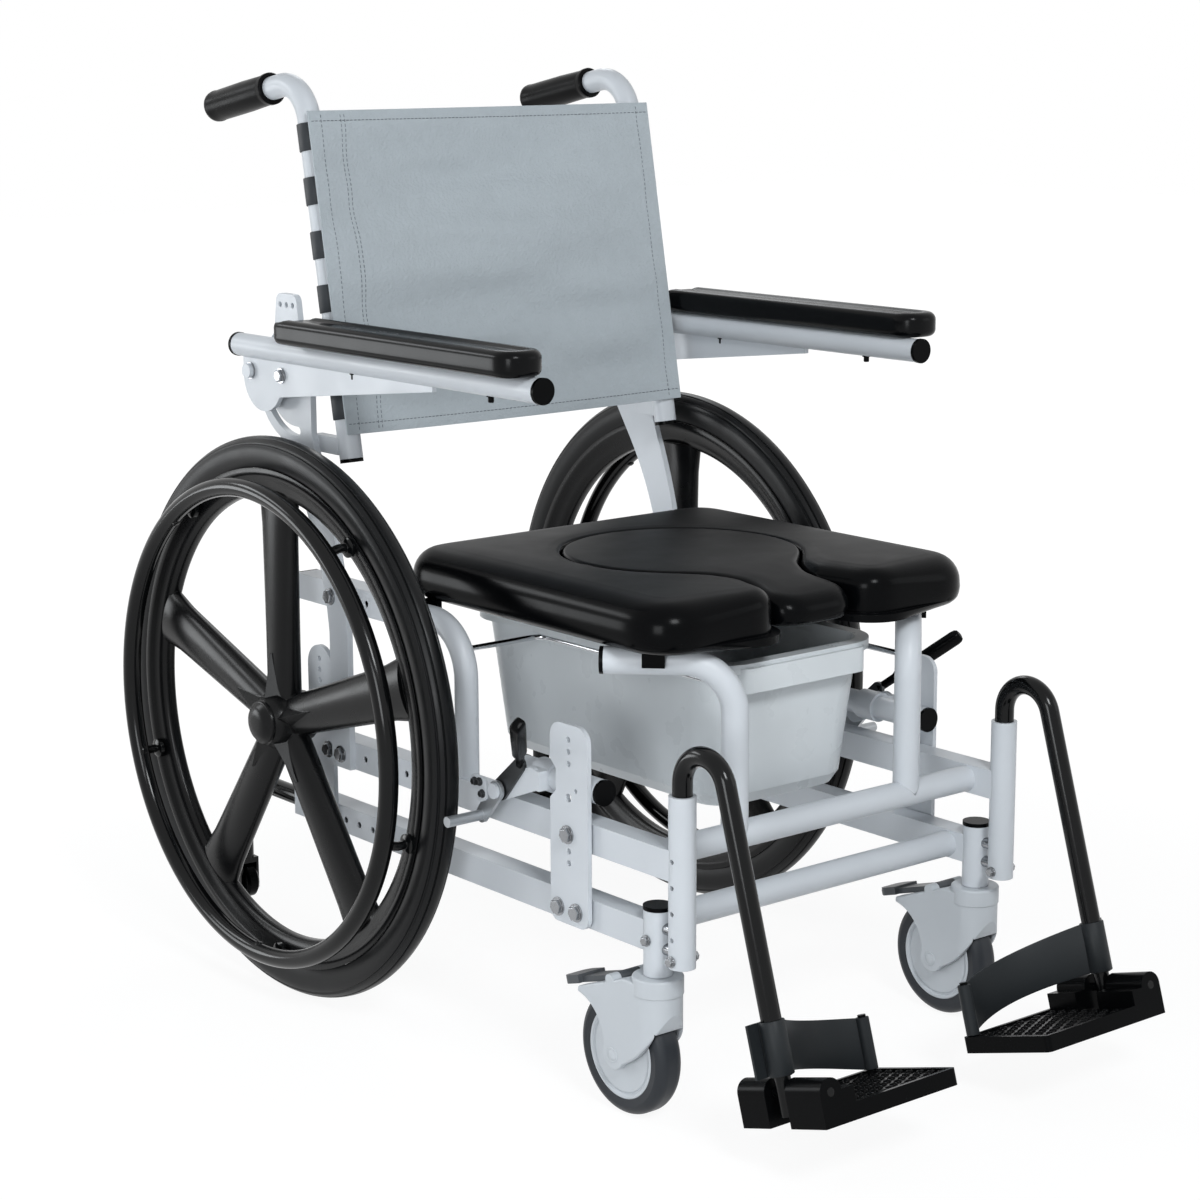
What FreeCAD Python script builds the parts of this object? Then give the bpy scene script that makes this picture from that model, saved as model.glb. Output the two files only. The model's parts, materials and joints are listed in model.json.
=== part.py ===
# Shower commode chair with 24 inch drive wheels, swivel casters, swing-away footrests and flip-up armrests.
# Frame: origin on the floor under the middle of the chair, +X to the user's left, -Y forwards, +Z up.
# Paired pieces are drawn on the left side and mirrored to the right.
import FreeCAD, Part
import math
import os
import re

Vector = FreeCAD.Vector
X = Vector(1, 0, 0)
Y = Vector(0, 1, 0)
Z = Vector(0, 0, 1)
ORIGIN = Vector(0, 0, 0)

# Driving dimensions, in millimetres and degrees
SIZES = {
    # Drive wheels
    "wheel_radius": 305, "wheel_x": 280.5, "axle_y": 243.5, "axle_radius": 6, "collar_wall": 2.5,
    "tyre_width": 30, "tyre_depth": 33, "rim_width": 28, "rim_depth": 30,
    "hub_radius": 27, "hub_length": 56, "hub_cap_radius": 24, "hub_cap_height": 11,
    "spoke_count": 5, "spoke_root_width": 46, "spoke_tip_width": 64, "spoke_root_depth": 36,
    "spoke_tip_depth": 26, "handrim_drop": 50.5, "handrim_x": 323, "handrim_tube_radius": 10,
    "standoff_radius": 4.5, "standoff_inset": 12, "standoff_root": 3,
    "bead_inset": 3, "bead_rise": 10, "tread_shoulder": 17, "rim_lip": 14, "rim_slope": 6, "rim_groove": 6,
    "rim_edge": 4, "rib_half_width": 6, "rib_depth": 14, "rib_setback": 2, "rib_sink": 3,
    "rib_root": 0.8, "rib_reach": 2.4,
    # Side frames
    "rail_x": 218, "rail_width": 25, "rail_height": 30, "rail_wall": 2,
    "upper_rail_z": 266, "lower_rail_z": 190, "rail_tail": 65,
    "rail_hole_radius": 3.5, "rail_hole_pitch": 25.4, "upper_hole_setback": 77, "upper_hole_count": 4,
    "lower_hole_setback": 37, "lower_hole_count": 3,
    "stem_y": -301.5, "stem_radius": 14, "stem_bottom_z": 150, "stem_top_z": 215,
    "receiver_y": -336.5, "receiver_radius": 13.2, "receiver_bottom_z": 166, "receiver_top_z": 333,
    "latch_hole_radius": 2.5, "latch_hole_top_z": 271, "latch_hole_pitch": 25.4, "latch_hole_count": 4,
    "saddle_radius": 6, "saddle_above": 8, "saddle_below": 12,
    "tube_wall": 2, "cap_thickness": 4, "running_fit": 0.08, "clearance": 0.3,
    "cross_radius": 13.5, "upper_cross_y": -296.5, "lower_cross_y": -271.5,
    # Plates and bolts on the side frames
    "plate_thickness": 5, "spacer_length": 3, "spacer_radius": 9,
    "plate_ahead": 51, "front_plate_width": 58, "front_plate_foot_z": 175, "front_plate_top_z": 376,
    "plate_round": 16, "plate_foot_round": 11, "notch_depth": 9, "notch_below": 14, "notch_above": 26,
    "front_bolt_shift": 2, "foot_bolt_front": 11, "foot_bolt_rear": 17,
    "side_hole_radius": 2.2, "side_hole_shift": 11, "relief_hole_radius": 4.2, "relief_hole_drop": 9,
    "height_hole_drop": 16.5, "height_hole_pitch": 12,
    "axle_plate_width": 46, "axle_plate_rise": 74, "axle_bolt_offset": 14.5,
    "accessory_hole_radius": 3, "accessory_hole_pitch": 12, "accessory_hole_inset": 15,
    "bolt_radius": 4, "bolt_head_radius": 8, "bolt_head_height": 6,
    # Seat supports
    "seat_support_z": 451, "leg_x": 117, "leg_radius": 13.5, "leg_bend": 50, "leg_end_inset": 9,
    "rear_leg_y": 1.5, "rear_leg_radius": 12.3, "rear_leg_bend": 55,
    "seat_rail_size": 28, "seat_rail_wall": 1.6, "seat_rail_front_y": 113, "seat_rail_rear_y": 291.5,
    "rail_socket": 30, "seat_rail_hole_setback": 85,
    # Side posts, back canes and canvas
    "post_thickness": 7, "post_foot_y": 202.5, "post_foot_width": 34, "post_straight": 147,
    "shank_rear_y": 277.5, "shank_rear_z": 557, "shank_front_y": 229.5, "shank_front_z": 567, "shank_bow": 14,
    "post_front_y": 244.5, "post_front_low_z": 609, "post_front_high_z": 650,
    "arm_pivot_y": 274, "arm_pivot_z": 670, "pivot_head_radius": 7, "stop_radius": 61,
    "slot_half_width": 5, "slot_margin": 3, "flip_angle": 90, "stud_radius": 4.6,
    "sector_radius": 77, "sector_below": 65, "sector_above": 5,
    "tab_y": 287, "tab_top_z": 755, "tab_width": 40, "tab_flare": 5, "tab_foot_z": 712,
    "tab_round": 9, "tab_hole_inset": 12, "post_bolt_shift": 14,
    "cane_block_z": 590, "cane_block_height": 18, "cane_block_rear_y": 253,
    "cane_radius": 12.5, "cane_foot_y": 198.5, "cane_foot_z": 586, "cane_lean": 10.4, "cane_length": 401,
    "cane_bend": 45, "handle_length": 177, "grip_length": 118, "grip_radius": 17,
    "canvas_foot": 36, "canvas_height": 331, "canvas_half_width": 228, "canvas_thickness": 2.4,
    "canvas_sag": 14, "strap_height": 29, "strap_end": 2.5, "strap_inset": 6, "strap_count": 6,
    "strap_thickness": 1.6,
    # Armrests
    "arm_x": 252, "arm_radius": 12.5, "arm_rise": 26.5, "arm_front_y": -172.5, "arm_rear_y": 358.5,
    "arm_cap_lip": 0.5, "gusset_thickness": 5, "gusset_drop": 24, "gusset_tip_y": -1, "gusset_tip_drop": 5,
    "gusset_corner": 5, "gusset_end": 14, "gusset_nose": 12, "stud_reach": 1.5,
    "pad_foot_inset": 3, "pad_foot_rise": 5, "pad_shoulder": 9, "pad_edge_inset": 4, "pad_edge_drop": 3,
    "pad_top_inset": 10, "pad_nose": 2, "pad_width": 52, "pad_offset": 12.5, "pad_length": 408,
    "pad_height": 26, "pad_rear_y": 236.5,
    # Casters
    "caster_radius": 62.5, "caster_width": 30, "caster_trail": 40, "caster_disc_radius": 46,
    "caster_axle_radius": 5, "swivel_radius": 8, "swivel_length": 50, "fork_width": 48, "fork_gap": 36,
    "fork_top_z": 149.5, "fork_cap_radius": 25, "fork_cap_height": 6, "fork_boss": 15, "fork_round": 2,
    "horn_reach": 92, "horn_z": 118, "wheel_room": 3.5,
    "pedal_pin_radius": 3, "pedal_side_gap": 1, "pedal_lug_radius": 6,
    "pedal_back": 44, "pedal_rise": 74.5, "pedal_boss": 6, "pedal_length": 84,
    "tread_length": 26, "tread_lip": 5, "pedal_slope": 17, "pedal_width": 24, "pedal_thickness": 6,
    "caster_hub_radius": 14, "caster_hub_lip": 1, "caster_web_radius": 18, "caster_web_inset": 3,
    "caster_shoulder": 9, "caster_crown": 10, "caster_round_side": 3.5, "caster_round_drop": 2.5,
    # Footrests
    "hanger_radius": 9.8, "hanger_foot_z": 200, "arch_radius": 31, "arch_z": 345, "hanger_lean": 17,
    "hanger_end_z": 100, "plate_pin_z": 86, "pin_radius": 4, "extension_below": 22, "extension_overlap": 28,
    "footplate_inner": 156, "footplate_outer": 28, "footplate_front": 62, "footplate_rear": 52,
    "footplate_thickness": 16, "footplate_drop": 15, "footplate_rim": 5, "tread_depth": 2.5,
    "hinge_radius": 13, "hinge_gap": 14.2,
    "strap_band_height": 50, "strap_band_thickness": 2.5, "strap_sleeve_wall": 2.5, "strap_bow": 22,
    "heel_post_radius": 4, "heel_post_height": 53, "heel_post_inset": 4,
    # Wheel locks
    "brake_tube_radius": 12.5, "brake_tube_z": 312, "brake_tube_ahead": 31, "brake_tube_behind": 40,
    "lock_setback": 33, "lock_pivot_z": 292, "clamp_ahead": 47, "clamp_length": 26, "clamp_wall": 3.5,
    "brake_plate_x": 240, "brake_plate_thickness": 5, "lever_thickness": 4, "lever_gap": 0.3,
    "lever_reach": 32, "grip_out": 55, "grip_forward": 68, "grip_up": 64, "lever_grip_radius": 7.5,
    "bar_radius": 5.5, "bar_back": 24, "bar_drop": 30, "bar_length": 46, "bar_arm_root": 10, "bar_arm_tip": 8,
    "clamp_web": 20, "clamp_arm_radius": 12, "pivot_arm_radius": 11, "knee_radius": 7, "grip_start": 0.38,
    # Anti-tippers
    "tipper_radius": 10.3, "tipper_y": 438.5, "tipper_bend": 40, "tipper_inside": 45,
    "tipper_wheel_radius": 20, "tipper_wheel_width": 16, "tipper_wheel_z": 64, "tipper_cheek": 3,
    "tipper_gap": 6, "tipper_fork_depth": 20, "tipper_bridge": 6, "bridge_sink": 4, "cheek_below": 9,
    "cheek_sink": 1, "tipper_pin_radius": 3, "tipper_round": 3, "tipper_side_gap": 1,
    # Seat, insert and pan
    "seat_half_width": 215, "seat_front_y": -301.5, "seat_rear_y": 128.5, "seat_corner": 48,
    "seat_foot_inset": 8, "seat_foot_ease": 2, "seat_foot_rise": 7, "seat_side_rise": 16, "opening_ahead": 20,
    "seat_thickness": 52, "seat_board": 8, "seat_round": 22, "opening_y": -81.5, "opening_radius": 125,
    "neck_waist": 45, "neck_mouth": 55, "neck_length": 150, "neck_ease": 7, "insert_gap": 1.5, "ledge": 9,
    "insert_round": 7, "insert_setback": 5, "insert_low": 2, "tongue_drop": 17,
    "clip_length": 22, "clip_depth": 17, "clip_wall": 5, "clip_shift": 10,
    "pan_half_width": 106, "pan_front_y": -256.5, "pan_rear_y": 131.5, "pan_depth": 141, "pan_taper": 12,
    "pan_wall": 2.5, "pan_corner": 38, "rim_overhang": 12, "rim_thickness": 10, "wire_radius": 3,
    "wire_x": 112.5, "wire_z": 411, "wire_bend": 14, "pan_handle_half_width": 84, "pan_handle_depth": 17,
    "pan_handle_height": 25, "pan_handle_drop": 4, "pan_foot_inset": 8, "pan_foot_rise": 12,
}

doc = FreeCAD.newDocument("shower_commode_chair")
sheet = doc.addObject("Spreadsheet::Sheet", "Sizes")
for row, (alias, number) in enumerate(SIZES.items(), start=1):
    sheet.set(f"A{row}", alias)
    sheet.set(f"B{row}", str(number))
    sheet.setAlias(f"B{row}", alias)
doc.recompute()


class Read:
    """Gives each size of the sheet as an attribute."""

    def __getattr__(self, alias):
        return float(sheet.get(alias))


s = Read()
nodes = []


# Helpers: expressions, primitives, booleans, paths and nodes
def bound(text):
    """An expression over the sheet, from words that are the aliases of its cells."""
    return re.sub(r"[a-z_]+", lambda word: f"Sizes.{word.group()}", str(text))


def bind(item, **properties):
    for name, text in properties.items():
        item.setExpression(name, bound(text))


def place(item, at, direction=Z):
    item.Placement = FreeCAD.Placement(ORIGIN, FreeCAD.Rotation(Z, direction))
    for axis, text in zip("xyz", at):
        item.setExpression(f"Placement.Base.{axis}", bound(text))


def cylinder(name, radius, length, at, direction=Z):
    item = doc.addObject("Part::Cylinder", name)
    bind(item, Radius=radius, Height=length)
    place(item, at, direction)
    return item


def box(name, size, corner):
    item = doc.addObject("Part::Box", name)
    bind(item, Length=size[0], Width=size[1], Height=size[2])
    place(item, corner)
    return item


def fuse(name, *items):
    item = doc.addObject("Part::MultiFuse", name)
    item.Shapes = list(items)
    return item


def cut(name, base, *tools):
    item = doc.addObject("Part::Cut", name)
    item.Base = base
    item.Tool = tools[0] if len(tools) == 1 else fuse(f"{name}_tools", *tools)
    return item


def solid(name, shape):
    item = doc.addObject("Part::Feature", name)
    item.Shape = shape
    return item


def mirrored(item):
    copy = doc.addObject("Part::Mirroring", f"{item.Name}_mirrored")
    copy.Source = item
    copy.Normal = X
    return copy


def node(label, *items):
    """One named sub-part, which may group several separate solids."""
    if len(items) == 1:
        group = items[0]
    else:
        group = doc.addObject("Part::Compound", f"{label}_group")
        group.Links = list(items)
    group.Label = label
    nodes.append(group)


def both(label, *items):
    """One sub-part that holds the left pieces and their mirror images."""
    node(label, *items, *[mirrored(item) for item in items])


def pair(label, item):
    """Two sub-parts, left and right."""
    copy = mirrored(item)
    node(f"left_{label}", item)
    node(f"right_{label}", copy)


def bent_path(points, bend):
    """Straight runs joined by tangent arcs of one radius."""
    edges = []
    start = points[0]
    for before, corner, after in zip(points, points[1:], points[2:]):
        back = (before - corner).normalize()
        ahead = (after - corner).normalize()
        half = back.getAngle(ahead) / 2
        tangent = bend / math.tan(half)
        middle = (back + ahead).normalize() * (bend / math.sin(half) - bend)
        arc_start = corner + back * tangent
        arc_end = corner + ahead * tangent
        edges.append(Part.LineSegment(start, arc_start).toShape())
        edges.append(Part.Arc(arc_start, corner + middle, arc_end).toShape())
        start = arc_end
    edges.append(Part.LineSegment(start, points[-1]).toShape())
    return Part.Wire(edges)


def rod(path, radius):
    """A round bar along a path."""
    first = path.OrderedEdges[0]
    start = first.valueAt(first.FirstParameter)
    ring = Part.Wire(Part.makeCircle(radius, start, first.tangentAt(first.FirstParameter)))
    return path.makePipeShell([ring], True, False)


def pipe(path, radius):
    """A round tube along a path."""
    return rod(path, radius).cut(rod(path, radius - s.tube_wall))


def round_bar(start, end, radius):
    return Part.makeCylinder(radius, (end - start).Length, start, end - start)


def plane_of(body, role):
    return next(item for item in body.Origin.OriginFeatures if item.Role == role)


def sketch_in(body, role, curves):
    sketch = body.newObject("Sketcher::SketchObject", f"{body.Name}_sketch")
    sketch.AttachmentSupport = (plane_of(body, role), [""])
    sketch.MapMode = "FlatFace"
    for curve in curves:
        sketch.addGeometry(curve, False)
    return sketch


def circle(u, v, radius):
    return Part.Circle(Vector(u, v, 0), Z, radius)


def outline(*steps):
    """Closed curve from points; a step of two points is an arc through the first to the second."""
    points = [step if isinstance(step[0], tuple) else (step,) for step in steps]
    curves = []
    here = Vector(*points[-1][-1], 0)
    for step in points:
        stops = [Vector(*stop, 0) for stop in step]
        curves.append(Part.LineSegment(here, stops[0]) if len(stops) == 1 else Part.Arc(here, *stops))
        here = stops[-1]
    return curves


def pad(name, role, curves, thickness, at):
    """A plate: a sketched outline with its holes, padded and set in place."""
    body = doc.addObject("PartDesign::Body", name)
    profile = sketch_in(body, role, curves)
    feature = body.newObject("PartDesign::Pad", f"{name}_pad")
    feature.Profile = profile
    bind(feature, Length=thickness)
    place(body, at)
    return body


def turned(name, curves, at):
    """A body of revolution about an axis along X."""
    body = doc.addObject("PartDesign::Body", name)
    profile = sketch_in(body, "XY_Plane", curves)
    feature = body.newObject("PartDesign::Revolution", f"{name}_turn")
    feature.Profile = profile
    feature.ReferenceAxis = (profile, ["H_Axis"])
    feature.Angle = 360
    place(body, at)
    return body


def rounded_rectangle(x_low, x_high, y_low, y_high, radius, z):
    corners = [(x_low, y_low), (x_high, y_low), (x_high, y_high), (x_low, y_high)]
    middles = [(x_low + radius, y_low + radius), (x_high - radius, y_low + radius),
               (x_high - radius, y_high - radius), (x_low + radius, y_high - radius)]
    edges = []
    ends = []
    for (cx, cy), (mx, my) in zip(corners, middles):
        across = Vector(mx, cy, z)
        along = Vector(cx, my, z)
        middle = Vector(mx + (cx - mx) * math.sqrt(0.5), my + (cy - my) * math.sqrt(0.5), z)
        first, last = (along, across) if (cx - mx) * (cy - my) > 0 else (across, along)
        edges.append(Part.Arc(first, middle, last).toShape())
        ends.append((first, last))
    for (_, last), (first, _) in zip(ends, ends[1:] + ends[:1]):
        edges.append(Part.LineSegment(last, first).toShape())
    return Part.Wire(Part.__sortEdges__(edges))


# Side frames: rails, cross tubes, caster stem tubes and footrest receivers
rail_outer_x = "(rail_x + rail_width / 2)"
rail_inner_x = "(rail_x - rail_width / 2)"
rail_end_y = "(axle_y + rail_tail)"


def rail(name, front_y, z, end_tool, first_hole_y, hole_count):
    low_z = f"{z} - rail_height / 2"
    length = f"{rail_end_y} - ({front_y})"
    outer = box(f"{name}_outer", ("rail_width", length, "rail_height"), (rail_inner_x, front_y, low_z))
    inner = box(f"{name}_inner", ("rail_width - 2 * rail_wall", length, "rail_height - 2 * rail_wall"),
                (f"{rail_inner_x} + rail_wall", front_y, f"{low_z} + rail_wall"))
    holes = [
        cylinder(f"{name}_hole_{step}", "rail_hole_radius", "2 * rail_wall",
                 (f"{rail_outer_x} - rail_wall", f"{first_hole_y} - {step} * rail_hole_pitch", z), X)
        for step in range(hole_count)
    ]
    return cut(name, outer, inner, end_tool, *holes)


receiver_space = cylinder("receiver_space", "receiver_radius", "receiver_top_z",
                          ("rail_x", "receiver_y", 0))
stem_space = cylinder("stem_space", "stem_radius", "stem_top_z", ("rail_x", "stem_y", 0))
both("upper_rails", rail("upper_rail", "receiver_y", "upper_rail_z", receiver_space,
                         "axle_y - upper_hole_setback", int(s.upper_hole_count)))
both("lower_rails", rail("lower_rail", "stem_y", "lower_rail_z", stem_space,
                         "axle_y - lower_hole_setback", int(s.lower_hole_count)))


def cross_tube(name, y, z):
    at = (f"-{rail_inner_x}", y, z)
    length = f"2 * {rail_inner_x}"
    outer = cylinder(f"{name}_outer", "cross_radius", length, at, X)
    bore = cylinder(f"{name}_bore", "cross_radius - tube_wall", length, at, X)
    return cut(name, outer, bore)


node("cross_tubes", cross_tube("upper_cross_tube", "upper_cross_y", "upper_rail_z"),
     cross_tube("lower_cross_tube", "lower_cross_y", "lower_rail_z"))

stem_at = ("rail_x", "stem_y", "stem_bottom_z")
stem_tube = cut("stem_tube",
                cylinder("stem_outer", "stem_radius", "stem_top_z - stem_bottom_z", stem_at),
                cylinder("stem_bore", "swivel_radius + running_fit", "swivel_length + clearance", stem_at))
both("caster_stem_tubes", stem_tube)

receiver = cut("receiver",
               cylinder("receiver_outer", "receiver_radius", "receiver_top_z - receiver_bottom_z",
                        ("rail_x", "receiver_y", "receiver_bottom_z")),
               cylinder("receiver_bore", "hanger_radius + running_fit",
                        "receiver_top_z - hanger_foot_z + clearance",
                        ("rail_x", "receiver_y", "hanger_foot_z - clearance")),
               *[cylinder(f"latch_hole_{step}", "latch_hole_radius", "receiver_radius",
                          ("rail_x", "receiver_y", f"latch_hole_top_z - {step} * latch_hole_pitch"), X)
                 for step in range(int(s.latch_hole_count))])
both("footrest_receivers", receiver)

# Plates on the side frames, with their spacers; the wheel lock is set from the tyre, the plate from the lock
lock_pivot_y = s.axle_y - s.wheel_radius - s.lock_setback
clamp_y = lock_pivot_y - s.clamp_ahead
front_plate_y = clamp_y - s.plate_ahead
plate_x = "(rail_x + rail_width / 2 + spacer_length)"
front_low_y = front_plate_y - s.front_plate_width / 2
front_high_y = front_plate_y + s.front_plate_width / 2
front_bolt_y = front_plate_y + s.front_bolt_shift
lower_bolt_ys = (front_plate_y - s.foot_bolt_front, front_plate_y + s.foot_bolt_rear)
plate_round = s.plate_round
foot_round = s.plate_foot_round
top_hole_z = s.front_plate_top_z - s.accessory_hole_inset
notch_low_z = s.brake_tube_z - s.notch_below
notch_high_z = s.brake_tube_z + s.notch_above
notch_depth = s.notch_depth


def corner_arc(u, v, du, dv):
    """Rounded plate corner: from (u, v + dv) to (u + du, v), or the other way about."""
    k = 1 - math.sqrt(0.5)
    return (u + du * k, v + dv * k)


front_plate_outline = outline(
    (front_high_y - foot_round, s.front_plate_foot_z),
    (corner_arc(front_high_y, s.front_plate_foot_z, -foot_round, foot_round),
     (front_high_y, s.front_plate_foot_z + foot_round)),
    (front_high_y, notch_low_z),
    (front_high_y - notch_depth, notch_low_z + notch_depth),
    (front_high_y - notch_depth, notch_high_z - notch_depth),
    (front_high_y, notch_high_z),
    (front_high_y, s.front_plate_top_z - plate_round),
    (corner_arc(front_high_y, s.front_plate_top_z, -plate_round, -plate_round),
     (front_high_y - plate_round, s.front_plate_top_z)),
    (front_low_y + plate_round, s.front_plate_top_z),
    (corner_arc(front_low_y, s.front_plate_top_z, plate_round, -plate_round),
     (front_low_y, s.front_plate_top_z - plate_round)),
    (front_low_y, s.front_plate_foot_z + foot_round),
    (corner_arc(front_low_y, s.front_plate_foot_z, foot_round, foot_round),
     (front_low_y + foot_round, s.front_plate_foot_z)),
)
front_plate_holes = [
    circle(front_plate_y, top_hole_z - step * s.accessory_hole_pitch, s.accessory_hole_radius)
    for step in range(3)
]
front_plate_holes.append(circle(front_bolt_y, s.upper_rail_z, s.bolt_radius))
front_plate_holes += [circle(y, s.lower_rail_z, s.bolt_radius) for y in lower_bolt_ys]
front_plate_holes += [circle(front_plate_y, s.upper_rail_z - s.height_hole_drop - step * s.height_hole_pitch,
                             s.accessory_hole_radius) for step in range(2)]
front_plate_holes.append(circle(front_plate_y - s.side_hole_shift, s.brake_tube_z, s.side_hole_radius))
front_plate_holes.append(circle(front_plate_y, s.brake_tube_z - s.relief_hole_drop, s.relief_hole_radius))
both("front_plates", pad("front_plate", "YZ_Plane", front_plate_outline + front_plate_holes,
                         "plate_thickness", (plate_x, 0, 0)))

axle_low_y = s.axle_y - s.axle_plate_width / 2
axle_high_y = s.axle_y + s.axle_plate_width / 2
axle_foot_z = s.lower_rail_z - s.rail_height / 2
axle_plate_top_z = s.wheel_radius + s.axle_plate_rise
axle_top_z = axle_plate_top_z - s.axle_plate_width / 2
axle_plate_outline = outline(
    (axle_high_y, axle_foot_z),
    (axle_high_y, axle_top_z),
    ((s.axle_y, axle_plate_top_z), (axle_low_y, axle_top_z)),
    (axle_low_y, axle_foot_z),
)
axle_hole_z = axle_plate_top_z - s.accessory_hole_inset
axle_bolts = [(s.axle_y - s.axle_bolt_offset, s.upper_rail_z),
              (s.axle_y + s.axle_bolt_offset, s.lower_rail_z)]
axle_plate_holes = [circle(s.axle_y, axle_hole_z - step * s.accessory_hole_pitch, s.accessory_hole_radius)
                    for step in range(3)]
axle_plate_holes.append(circle(s.axle_y, s.wheel_radius, s.axle_radius))
axle_plate_holes += [circle(y, z, s.bolt_radius) for y, z in axle_bolts]
both("axle_plates", pad("axle_plate", "YZ_Plane", axle_plate_outline + axle_plate_holes,
                        "plate_thickness", (rail_outer_x, 0, 0)))

spacer_spots = [(front_bolt_y, "upper_rail_z"), (lower_bolt_ys[0], "lower_rail_z"),
                (lower_bolt_ys[1], "lower_rail_z")]
spacers = []
for index, (y, z) in enumerate(spacer_spots):
    at = (rail_outer_x, y, z)
    ring = cylinder(f"spacer_ring_{index}", "spacer_radius", "spacer_length", at, X)
    hole = cylinder(f"spacer_hole_{index}", "bolt_radius", "spacer_length", at, X)
    spacers.append(cut(f"spacer_{index}", ring, hole))
stem_gap = "(stem_y - receiver_y)"
for index, z in enumerate(("lower_rail_z + saddle_above", "lower_rail_z - saddle_below")):
    saddle = cylinder(f"saddle_bar_{index}", "saddle_radius", stem_gap, ("rail_x", "receiver_y", z), Y)
    spacers.append(cut(f"saddle_{index}", saddle, stem_space, receiver_space))
both("spacers", *spacers)

# Seat supports: bent legs and rectangular seat rails
leg_run_z = s.seat_support_z - s.leg_radius
leg_end_x = s.seat_half_width - s.leg_end_inset
leg_reach = leg_end_x - s.leg_x
leg_path = bent_path([
    Vector(s.leg_x, s.upper_cross_y, s.upper_rail_z),
    Vector(s.leg_x, s.upper_cross_y, leg_run_z),
    Vector(leg_end_x, s.upper_cross_y + leg_reach, leg_run_z),
], s.leg_bend)
upper_cross_space = Part.makeCylinder(s.cross_radius, 4 * s.leg_x,
                                      Vector(-2 * s.leg_x, s.upper_cross_y, s.upper_rail_z), X)
both("front_seat_legs", solid("front_seat_leg", pipe(leg_path, s.leg_radius).cut(upper_cross_space)))

seat_rail_x = s.rail_x + s.rail_width / 2 - s.seat_rail_size / 2
seat_rail_z = s.seat_support_z - s.seat_rail_size / 2
rear_leg_path = bent_path([
    Vector(seat_rail_x, s.rear_leg_y, s.upper_rail_z + s.rail_height / 2),
    Vector(seat_rail_x, s.rear_leg_y, seat_rail_z),
    Vector(seat_rail_x, s.seat_rail_front_y + s.rail_socket, seat_rail_z),
], s.rear_leg_bend)
both("rear_seat_legs", solid("rear_seat_leg", pipe(rear_leg_path, s.rear_leg_radius)))

seat_rail_low_x = f"{rail_outer_x} - seat_rail_size"
seat_rail_low_z = "seat_support_z - seat_rail_size"
seat_rail_length = "seat_rail_rear_y - seat_rail_front_y"
seat_rail_bore = "seat_rail_size - 2 * seat_rail_wall"
seat_rail = cut(
    "seat_rail",
    box("seat_rail_outer", ("seat_rail_size", seat_rail_length, "seat_rail_size"),
        (seat_rail_low_x, "seat_rail_front_y", seat_rail_low_z)),
    box("seat_rail_inner", (seat_rail_bore, seat_rail_length, seat_rail_bore),
        (f"{seat_rail_low_x} + seat_rail_wall", "seat_rail_front_y", f"{seat_rail_low_z} + seat_rail_wall")),
    cylinder("seat_rail_hole", "rail_hole_radius", "2 * seat_rail_wall",
             (f"{rail_outer_x} - seat_rail_wall", "axle_y - seat_rail_hole_setback",
              "seat_support_z - seat_rail_size / 2"), X),
)
both("seat_rails", seat_rail)

# Side posts: curved plates from the upper rail to the armrest pivot, with the stop slot and a tab of holes
pivot = (s.arm_pivot_y, s.arm_pivot_z)
foot_front = s.post_foot_y - s.post_foot_width / 2
foot_rear = s.post_foot_y + s.post_foot_width / 2
foot_z = s.upper_rail_z - s.rail_height / 2


def about_pivot(radius, degrees):
    """Point at an angle round the armrest pivot, 0 to the rear and -90 below."""
    angle = math.radians(degrees)
    return (pivot[0] + radius * math.cos(angle), pivot[1] + radius * math.sin(angle))


tab_front = s.tab_y - s.tab_width / 2
tab_rear = s.tab_y + s.tab_width / 2
tab_shoulder_z = s.tab_top_z - s.tab_round
post_outline = outline(
    (foot_rear, foot_z),
    (foot_rear, foot_z + s.post_straight),
    ((foot_rear + s.shank_bow, s.seat_support_z + s.shank_bow), (s.shank_rear_y, s.shank_rear_z)),
    about_pivot(s.sector_radius, -s.sector_below),
    (about_pivot(s.sector_radius, (s.sector_above - s.sector_below) / 2),
     about_pivot(s.sector_radius, s.sector_above)),
    (tab_rear + s.tab_flare, s.tab_foot_z),
    (tab_rear, tab_shoulder_z),
    (corner_arc(tab_rear, s.tab_top_z, -s.tab_round, -s.tab_round), (tab_rear - s.tab_round, s.tab_top_z)),
    (tab_front + s.tab_round, s.tab_top_z),
    (corner_arc(tab_front, s.tab_top_z, s.tab_round, -s.tab_round), (tab_front, tab_shoulder_z)),
    (tab_front - s.tab_flare, s.tab_foot_z),
    (s.post_front_y, s.post_front_high_z),
    (s.post_front_y, s.post_front_low_z),
    (s.shank_front_y, s.shank_front_z),
    ((foot_front + s.shank_bow, s.seat_support_z + 2 * s.shank_bow), (foot_front, foot_z + s.post_straight)),
    (foot_front, foot_z),
)
slot_start = s.slot_margin
slot_end = -s.flip_angle - s.slot_margin
slot_low = s.stop_radius - s.slot_half_width
slot_high = s.stop_radius + s.slot_half_width
slot_cap = math.degrees(s.slot_half_width / s.stop_radius)
stop_slot = outline(
    (about_pivot(slot_high, (slot_start + slot_end) / 2), about_pivot(slot_high, slot_end)),
    (about_pivot(s.stop_radius, slot_end - slot_cap), about_pivot(slot_low, slot_end)),
    (about_pivot(slot_low, (slot_start + slot_end) / 2), about_pivot(slot_low, slot_start)),
    (about_pivot(s.stop_radius, slot_start + slot_cap), about_pivot(slot_high, slot_start)),
)
tab_hole_z = s.tab_top_z - s.tab_hole_inset
tab_holes = [circle(s.tab_y + step * s.accessory_hole_pitch, tab_hole_z, s.accessory_hole_radius)
             for step in (-1, 0, 1)]
post_bolts = [(s.post_foot_y, s.upper_rail_z), (s.post_foot_y + s.post_bolt_shift, seat_rail_z)]
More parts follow.
